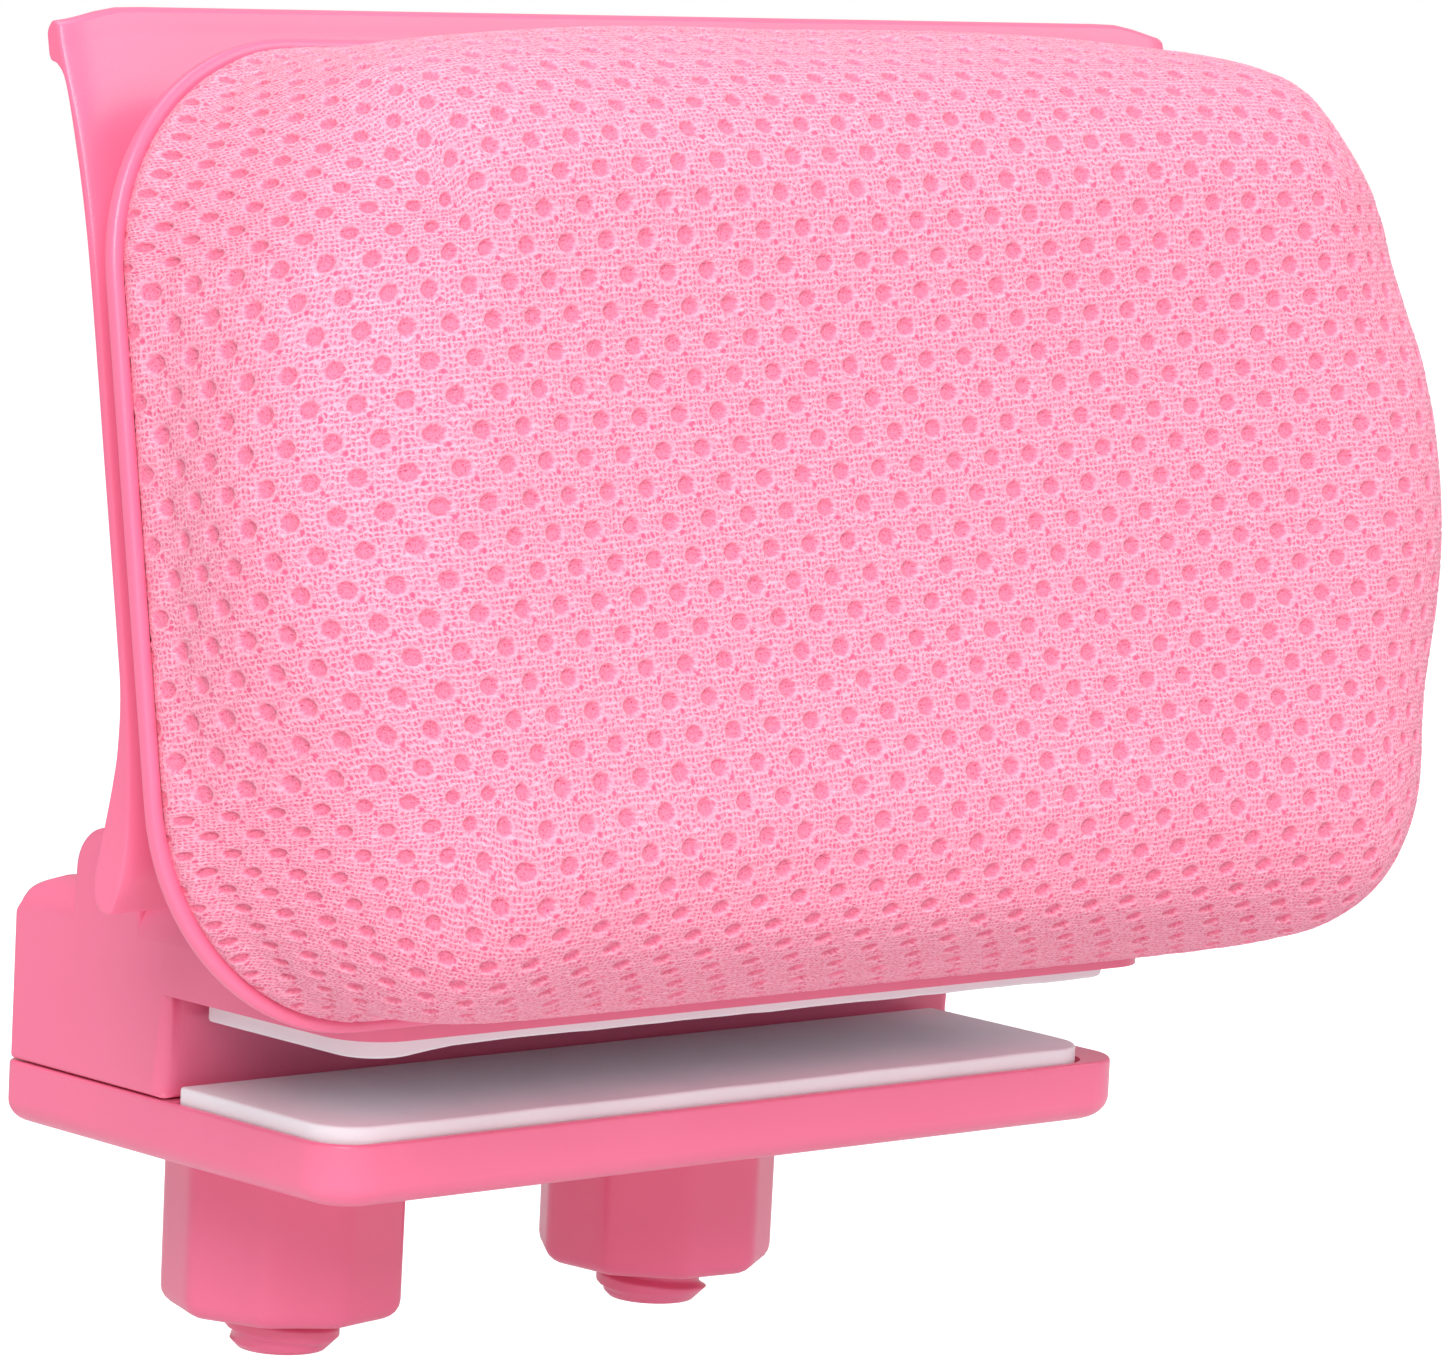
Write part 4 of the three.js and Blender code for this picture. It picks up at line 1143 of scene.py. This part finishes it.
def split(vector):
    node = knit.nodes.new("ShaderNodeSeparateXYZ")
    knit.links.new(vector, node.inputs[0])
    return node.outputs["X"], node.outputs["Y"]


def lattice_distance(offset_x, offset_y, half_x, half_y):
    """Distance to the nearest point of the staggered lattice, 1 on an oval of the given half sizes."""
    plain_x, plain_y = split(scaled.outputs[0])
    from_x = maths(knit, "SUBTRACT", plain_x, HALF_SPAN + offset_x)
    from_y = maths(knit, "SUBTRACT", plain_y, HALF_SPAN + LATTICE_UP + offset_y)
    row = maths(knit, "DIVIDE", from_y, CELL_ROW)
    number = maths(knit, "ROUND", row)
    stagger = maths(knit, "MULTIPLY", maths(knit, "MODULO", maths(knit, "ABSOLUTE", number), 2.0), 0.5)
    column = maths(knit, "SUBTRACT", maths(knit, "DIVIDE", from_x, CELL_PITCH), stagger)
    beside = maths(knit, "SUBTRACT", column, maths(knit, "ROUND", column))
    far_x = maths(knit, "MULTIPLY", beside, CELL_PITCH / half_x)
    far_y = maths(knit, "MULTIPLY", maths(knit, "SUBTRACT", row, number), CELL_ROW / half_y)
    return maths(knit, "SQRT", maths(knit, "ADD", maths(knit, "MULTIPLY", far_x, far_x),
                                     maths(knit, "MULTIPLY", far_y, far_y)))


def inside(distance, start, end):
    """1 nearer than start, 0 beyond end."""
    node = knit.nodes.new("ShaderNodeMapRange")
    node.interpolation_type = "SMOOTHSTEP"
    for label, value in (("From Min", start), ("From Max", end), ("To Min", 1.0), ("To Max", 0.0)):
        node.inputs[label].default_value = value
    knit.links.new(distance, node.inputs["Value"])
    return node.outputs["Result"]


HALF_SPAN = UV_SPAN / MM / 2
LATTICE_UP = (CORE_LOW + CORE_HIGH) / 2
thread = knit_in.outputs["Thread"]
across, along = split(shifted(scaled.outputs[0], 0.75, 1.7))
columns = stripes(across, thread, 1.4)
ribs = stripes(along, thread, 1.4)
loops_x, loops_y = split(shifted(scaled.outputs[0], 1.1, 2.2))
slanted = stripes(maths(knit, "ADD", loops_x, maths(knit, "MULTIPLY", loops_y, 0.6)), 1.15, 3.0)
patches = noise(knit, scaled.outputs[0], 0.45, 3)
woven = maths(knit, "MAXIMUM", maths(knit, "MULTIPLY", columns, 0.85), ribs)
woven = maths(knit, "MAXIMUM", woven, maths(knit, "MULTIPLY", slanted, 0.8))
threads = maths(knit, "MULTIPLY", woven, maths(knit, "MULTIPLY_ADD", patches, 1.1, 0.42), clamp=True)
hole_far = lattice_distance(0.0, 0.0, HOLE_WIDE / 2, HOLE_HIGH / 2)
holes = inside(hole_far, 0.78, 1.08)
collar = maths(knit, "MULTIPLY", inside(hole_far, 1.2, 1.6), maths(knit, "SUBTRACT", 1.0, holes))
eyes = inside(lattice_distance(2.1, -1.7, 0.55, 0.5), 0.5, 1.2)
threads = maths(knit, "MAXIMUM", threads, maths(knit, "MULTIPLY", collar, 0.75))
openness = maths(knit, "MULTIPLY_ADD", patches, 1.6, -0.3)
gaps = maths(knit, "MULTIPLY", maths(knit, "SUBTRACT", 1.0, woven), openness, clamp=True)
gaps = maths(knit, "MAXIMUM", gaps, maths(knit, "MULTIPLY", eyes, 0.9))
speck_noise = noise(knit, scaled.outputs[0], 2.6, 1)
specks = maths(knit, "MULTIPLY", maths(knit, "SUBTRACT", speck_noise, 0.55, clamp=True), 5.0, clamp=True)
height = maths(knit, "SUBTRACT", threads, maths(knit, "MULTIPLY", gaps, 0.7))
for label, value in (("Threads", threads), ("Gaps", gaps), ("Holes", holes), ("Specks", specks),
                     ("Height", height)):
    knit.links.new(value, knit_out.inputs[label])


def knit_material():
    material, tree, links, shader = new_material("knit_cover")
    flat = tree.new("ShaderNodeUVMap")
    flat.uv_map = "cloth"
    use = tree.new("ShaderNodeGroup")
    use.node_tree = knit
    links.new(flat.outputs["UV"], use.inputs["Vector"])

    def mixed(first, second, factor):
        mix = tree.new("ShaderNodeMix")
        mix.data_type = "RGBA"
        for socket, value in (("A", first), ("B", second)):
            if isinstance(value, tuple):
                mix.inputs[socket].default_value = (*value, 1)
            else:
                links.new(value, mix.inputs[socket])
        links.new(factor, mix.inputs["Factor"])
        return mix.outputs["Result"]

    face = mixed((0.88, 0.15, 0.28), (0.97, 0.45, 0.585), use.outputs["Threads"])
    face = mixed(face, (0.80, 0.10, 0.23), use.outputs["Gaps"])
    ground = mixed((0.95, 0.235, 0.375), (0.76, 0.07, 0.17), use.outputs["Specks"])
    links.new(mixed(face, ground, use.outputs["Holes"]), shader.inputs["Base Color"])
    relief = tree.new("ShaderNodeBump")
    relief.inputs["Strength"].default_value = 0.55
    relief.inputs["Distance"].default_value = 0.00025
    links.new(use.outputs["Height"], relief.inputs["Height"])
    links.new(relief.outputs["Normal"], shader.inputs["Normal"])
    shader.inputs["Roughness"].default_value = 0.72
    shader.inputs["Specular IOR Level"].default_value = 0.25
    shader.inputs["Sheen Weight"].default_value = 0.2
    shader.inputs["Sheen Roughness"].default_value = 0.4
    shader.inputs["Sheen Tint"].default_value = (1.0, 0.86, 0.92, 1)
    return material


knit_cover_finish = knit_material()

# %% [markdown]
# ## Cushion: making the cover
# The node tree is given the patch, the cell and the sizes, and its result becomes a plain mesh. The cut edge
# of such a cover is tucked behind the lip of the shell, out of sight, so its open back is simply filled.

# %% Make the cover
knit_tree = perforated_knit_tree()
cover = bpy.data.objects.new("knit_cover", patch.data.copy())
scene.collection.objects.link(cover)
columns_needed = 2 * math.ceil((CORE_X + REACH) / CELL_PITCH) + 3
rows_needed = 2 * math.ceil(((CORE_HIGH - CORE_LOW) / 2 + REACH) / CELL_ROW) + 3
modifier = cover.modifiers.new("knit", "NODES")
modifier.node_group = knit_tree.tree
settings = {
    "Cell": cell, "Pitch": CELL_PITCH * MM, "Row spacing": CELL_ROW * MM,
    "Columns": columns_needed, "Rows": rows_needed, "Middle": (0.0, LATTICE_UP * MM, 0.0),
    "Core low": (-CORE_X * MM, CORE_LOW * MM, 0.0), "Core high": (CORE_X * MM, CORE_HIGH * MM, 0.0),
    "Reach": (REACH - 0.2) * MM, "UV span": UV_SPAN, "Pattern turn": math.radians(2.2),
    "Material": knit_cover_finish}
for label, value in settings.items():
    modifier[knit_tree.sockets[label]] = value
settle(cover)
skin = bmesh.new()
skin.from_mesh(cover.data)
bmesh.ops.remove_doubles(skin, verts=[v for v in skin.verts if v.is_boundary], dist=0.05 * MM)
bmesh.ops.holes_fill(skin, edges=[edge for edge in skin.edges if edge.is_boundary], sides=0)
bmesh.ops.recalc_face_normals(skin, faces=skin.faces)
print("cover:", len(skin.faces), "faces,", sum(edge.is_boundary for edge in skin.edges), "open edges")
skin.to_mesh(cover.data)
skin.free()
bpy.data.objects.remove(patch)
bpy.data.objects.remove(cell)

# %% [markdown]
# ## Foam core
# The foam fills the cover down to the board. It is the blown-up block itself, drawn in by the thickness of
# the cover.

# %% Foam core
COVER_THICK, BOARD_FRONT = 3.0, -18.2
foam = block
foam.name = foam.data.name = "foam_block"
foam.data.update()
drawn_in = positions(foam.data)
outward = np.empty(len(foam.data.vertices) * 3)
foam.data.vertices.foreach_get("normal", outward)
drawn_in -= outward.reshape(-1, 3) * COVER_THICK * MM
back, up_ = leaning_back(drawn_in)
limit = np.minimum(back, BOARD_FRONT)
drawn_in = lean(np.column_stack([drawn_in[:, 0] / MM, limit, up_])) * MM
foam.data.vertices.foreach_set("co", drawn_in.ravel())
foam.data.shade_smooth()
print("foam:", len(foam.data.polygons), "faces")

# %% [markdown]
# ## Screws
# Four pan-head screws hold the plate to the shell, and two shoulder screws are the hinge's axle. Each kind is
# modelled once with its cross recess, and a small Geometry Nodes tree puts a copy at each marked point.

# %% Screw shapes
def turned(name, profile, sides=28):
    """A round part from (radius, height) pairs, in millimetres."""
    angle = np.linspace(0, 2 * math.pi, sides, endpoint=False)
    circle = np.column_stack([np.cos(angle), np.sin(angle)])
    return loft(name, [level(circle * max(radius, 0.02), height) for radius, height in profile])


def threaded(start, end, core, crest, pitch=1.2):
    """(radius, height) pairs of a ridged shank."""
    count = int(abs(end - start) / pitch)
    heights = np.linspace(start, end, 2 * count + 1)
    return [(crest if k % 2 else core, height) for k, height in enumerate(heights)]


def cross_cut(screw, top, reach, width, depth):
    bars = []
    for turn in (0, 1):
        size = (reach, width) if turn else (width, reach)
        bars.append(slab("bar", -size[0], size[0], -size[1], size[1], 0.3,
                         [(top - depth, 0.25), (top + 1, 0)], 3, 2))
    return combine(screw, bars, "DIFFERENCE")


pan = turned("pan_screw", [(0.02, -16.4), (0.6, -15.6)] + threaded(-15, -1, 1.25, 1.75) +
             [(1.5, 0.0), (3.7, 0.0), (4.0, 0.25), (3.85, 1.1), (3.2, 1.7), (2.2, 1.98), (0.02, 2.05)])
cross_cut(pan, 2.0, 2.0, 0.45, 1.2)
shade(pan, 40)
shoulder = turned("shoulder_screw", threaded(-24, -16.4, 1.7, 2.0, 0.9) +
                  [(2.9, -16.2), (3.0, -16), (3.0, 0), (5.0, 0), (5.2, 0.25), (5.15, 2), (4.6, 2.8),
                   (3.6, 3), (0.02, 3)])
cross_cut(shoulder, 3.0, 2.9, 0.6, 1.5)
shade(shoulder, 40)


def placed_copies_tree():
    tree = Tree("placed_copies", [("Points", "NodeSocketGeometry"), ("Shape", "NodeSocketObject"),
                                  ("Turn", "NodeSocketRotation"), ("Finish", "NodeSocketMaterial")])
    shape = tree.add("GeometryNodeObjectInfo", Object=tree.given["Shape"])
    facing = tree.add("FunctionNodeAlignRotationToVector", {"axis": "Z"}, Vector=tree.named("aim"),
                      Rotation=tree.given["Turn"])
    copies = tree.add("GeometryNodeInstanceOnPoints", Points=tree.given["Points"],
                      Instance=shape.outputs["Geometry"], Rotation=facing.outputs[0])
    real = tree.add("GeometryNodeRealizeInstances", Geometry=copies.outputs[0])
    finish = tree.add("GeometryNodeSetMaterial", Geometry=real.outputs[0], Material=tree.given["Finish"])
    tree.feed(tree.result[0], finish.outputs[0])
    return tree


copies_tree = placed_copies_tree()


def place_copies(name, shape, places, aims, finish):
    marks = bpy.data.meshes.new(name)
    marks.from_pydata([tuple(place) for place in places], [], [])
    aim = marks.attributes.new("aim", "FLOAT_VECTOR", "POINT")
    aim.data.foreach_set("vector", np.asarray(aims, dtype=float).ravel())
    piece = bpy.data.objects.new(name, marks)
    scene.collection.objects.link(piece)
    modifier = piece.modifiers.new("copies", "NODES")
    modifier.node_group = copies_tree.tree
    modifier[copies_tree.sockets["Shape"]] = shape
    modifier[copies_tree.sockets["Finish"]] = finish
    settle(piece)
    bpy.data.objects.remove(shape)
    print(name, len(piece.data.polygons), "faces")
    return piece


backwards = lean((0, 1, 0)) - lean((0, 0, 0))
screw_seats = [lean((x, 2.7, up_plate)) * MM for x, up_plate in SHELL_SCREWS]
shell_screws = place_copies("shell_screws", pan, screw_seats, [backwards] * 4, plated_steel)
hinge_seats = [(side * 56 * MM, HINGE[0] * MM, HINGE[1] * MM) for side in (-1, 1)]
hinge_screws = place_copies("hinge_screws", shoulder, hinge_seats, [(1, 0, 0), (-1, 0, 0)], plated_steel)

# %% [markdown]
# ## Putting it together
# Every piece rides on its CAD body, hides the plain solid that it stands for and takes a material slot.
# The hidden washers, inserts and board keep their CAD shapes and get a finish of their own.

# %% Finishes, bodies and slots
def put(piece, body, slot_name, material, *stands_for):
    if material is not None:
        piece.data.materials.clear()
        piece.data.materials.append(material)
    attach(piece, body)
    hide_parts(*stands_for)


put(clamp_body, "clamp", "pink_plastic", pink_plastic, "clamp_body")
put(upper_pad, "clamp", "white_foam", foam_strip, "upper_pad")
put(lower_jaw, "jaw", "pink_plastic", pink_plastic, "lower_jaw")
put(lower_pad, "jaw", "white_foam", foam_strip, "lower_pad")
put(back_plate, "headrest", "pink_plastic", pink_plastic, "back_plate")
put(cushion_shell, "headrest", "pink_plastic", pink_plastic, "cushion_shell")
put(cover, "headrest", "mesh_fabric", None, "mesh_cover")
put(foam, "headrest", "core_foam", core_foam, "foam_core")
put(shell_screws, "headrest", "steel", None, *[f"shell_screw_{number}" for number in range(1, 5)])
put(hinge_screws, "clamp", "steel", None, "hinge_screw_left", "hinge_screw_right")
for side in ("left", "right"):
    put(bolts[side], "clamp", "pink_plastic", pink_plastic, f"clamp_bolt_{side}")
    put(knobs[side], f"{side}_knob", "pink_plastic", pink_plastic, f"knob_{side}")

kept = {"cushion_board": fibre_board}
for side in ("left", "right"):
    kept.update({f"hinge_insert_{side}": brass, f"friction_washer_{side}": nylon,
                 f"thrust_washer_{side}": nylon,
                 f"spring_washer_{side}": plated_steel})
for name, material in kept.items():
    mesh = nodes[name].data
    if not mesh.materials:
        mesh.materials.append(material)
    for index in range(len(mesh.materials)):
        nodes[name].material_slots[index].material = material
print("kept CAD pieces:", sorted(kept))
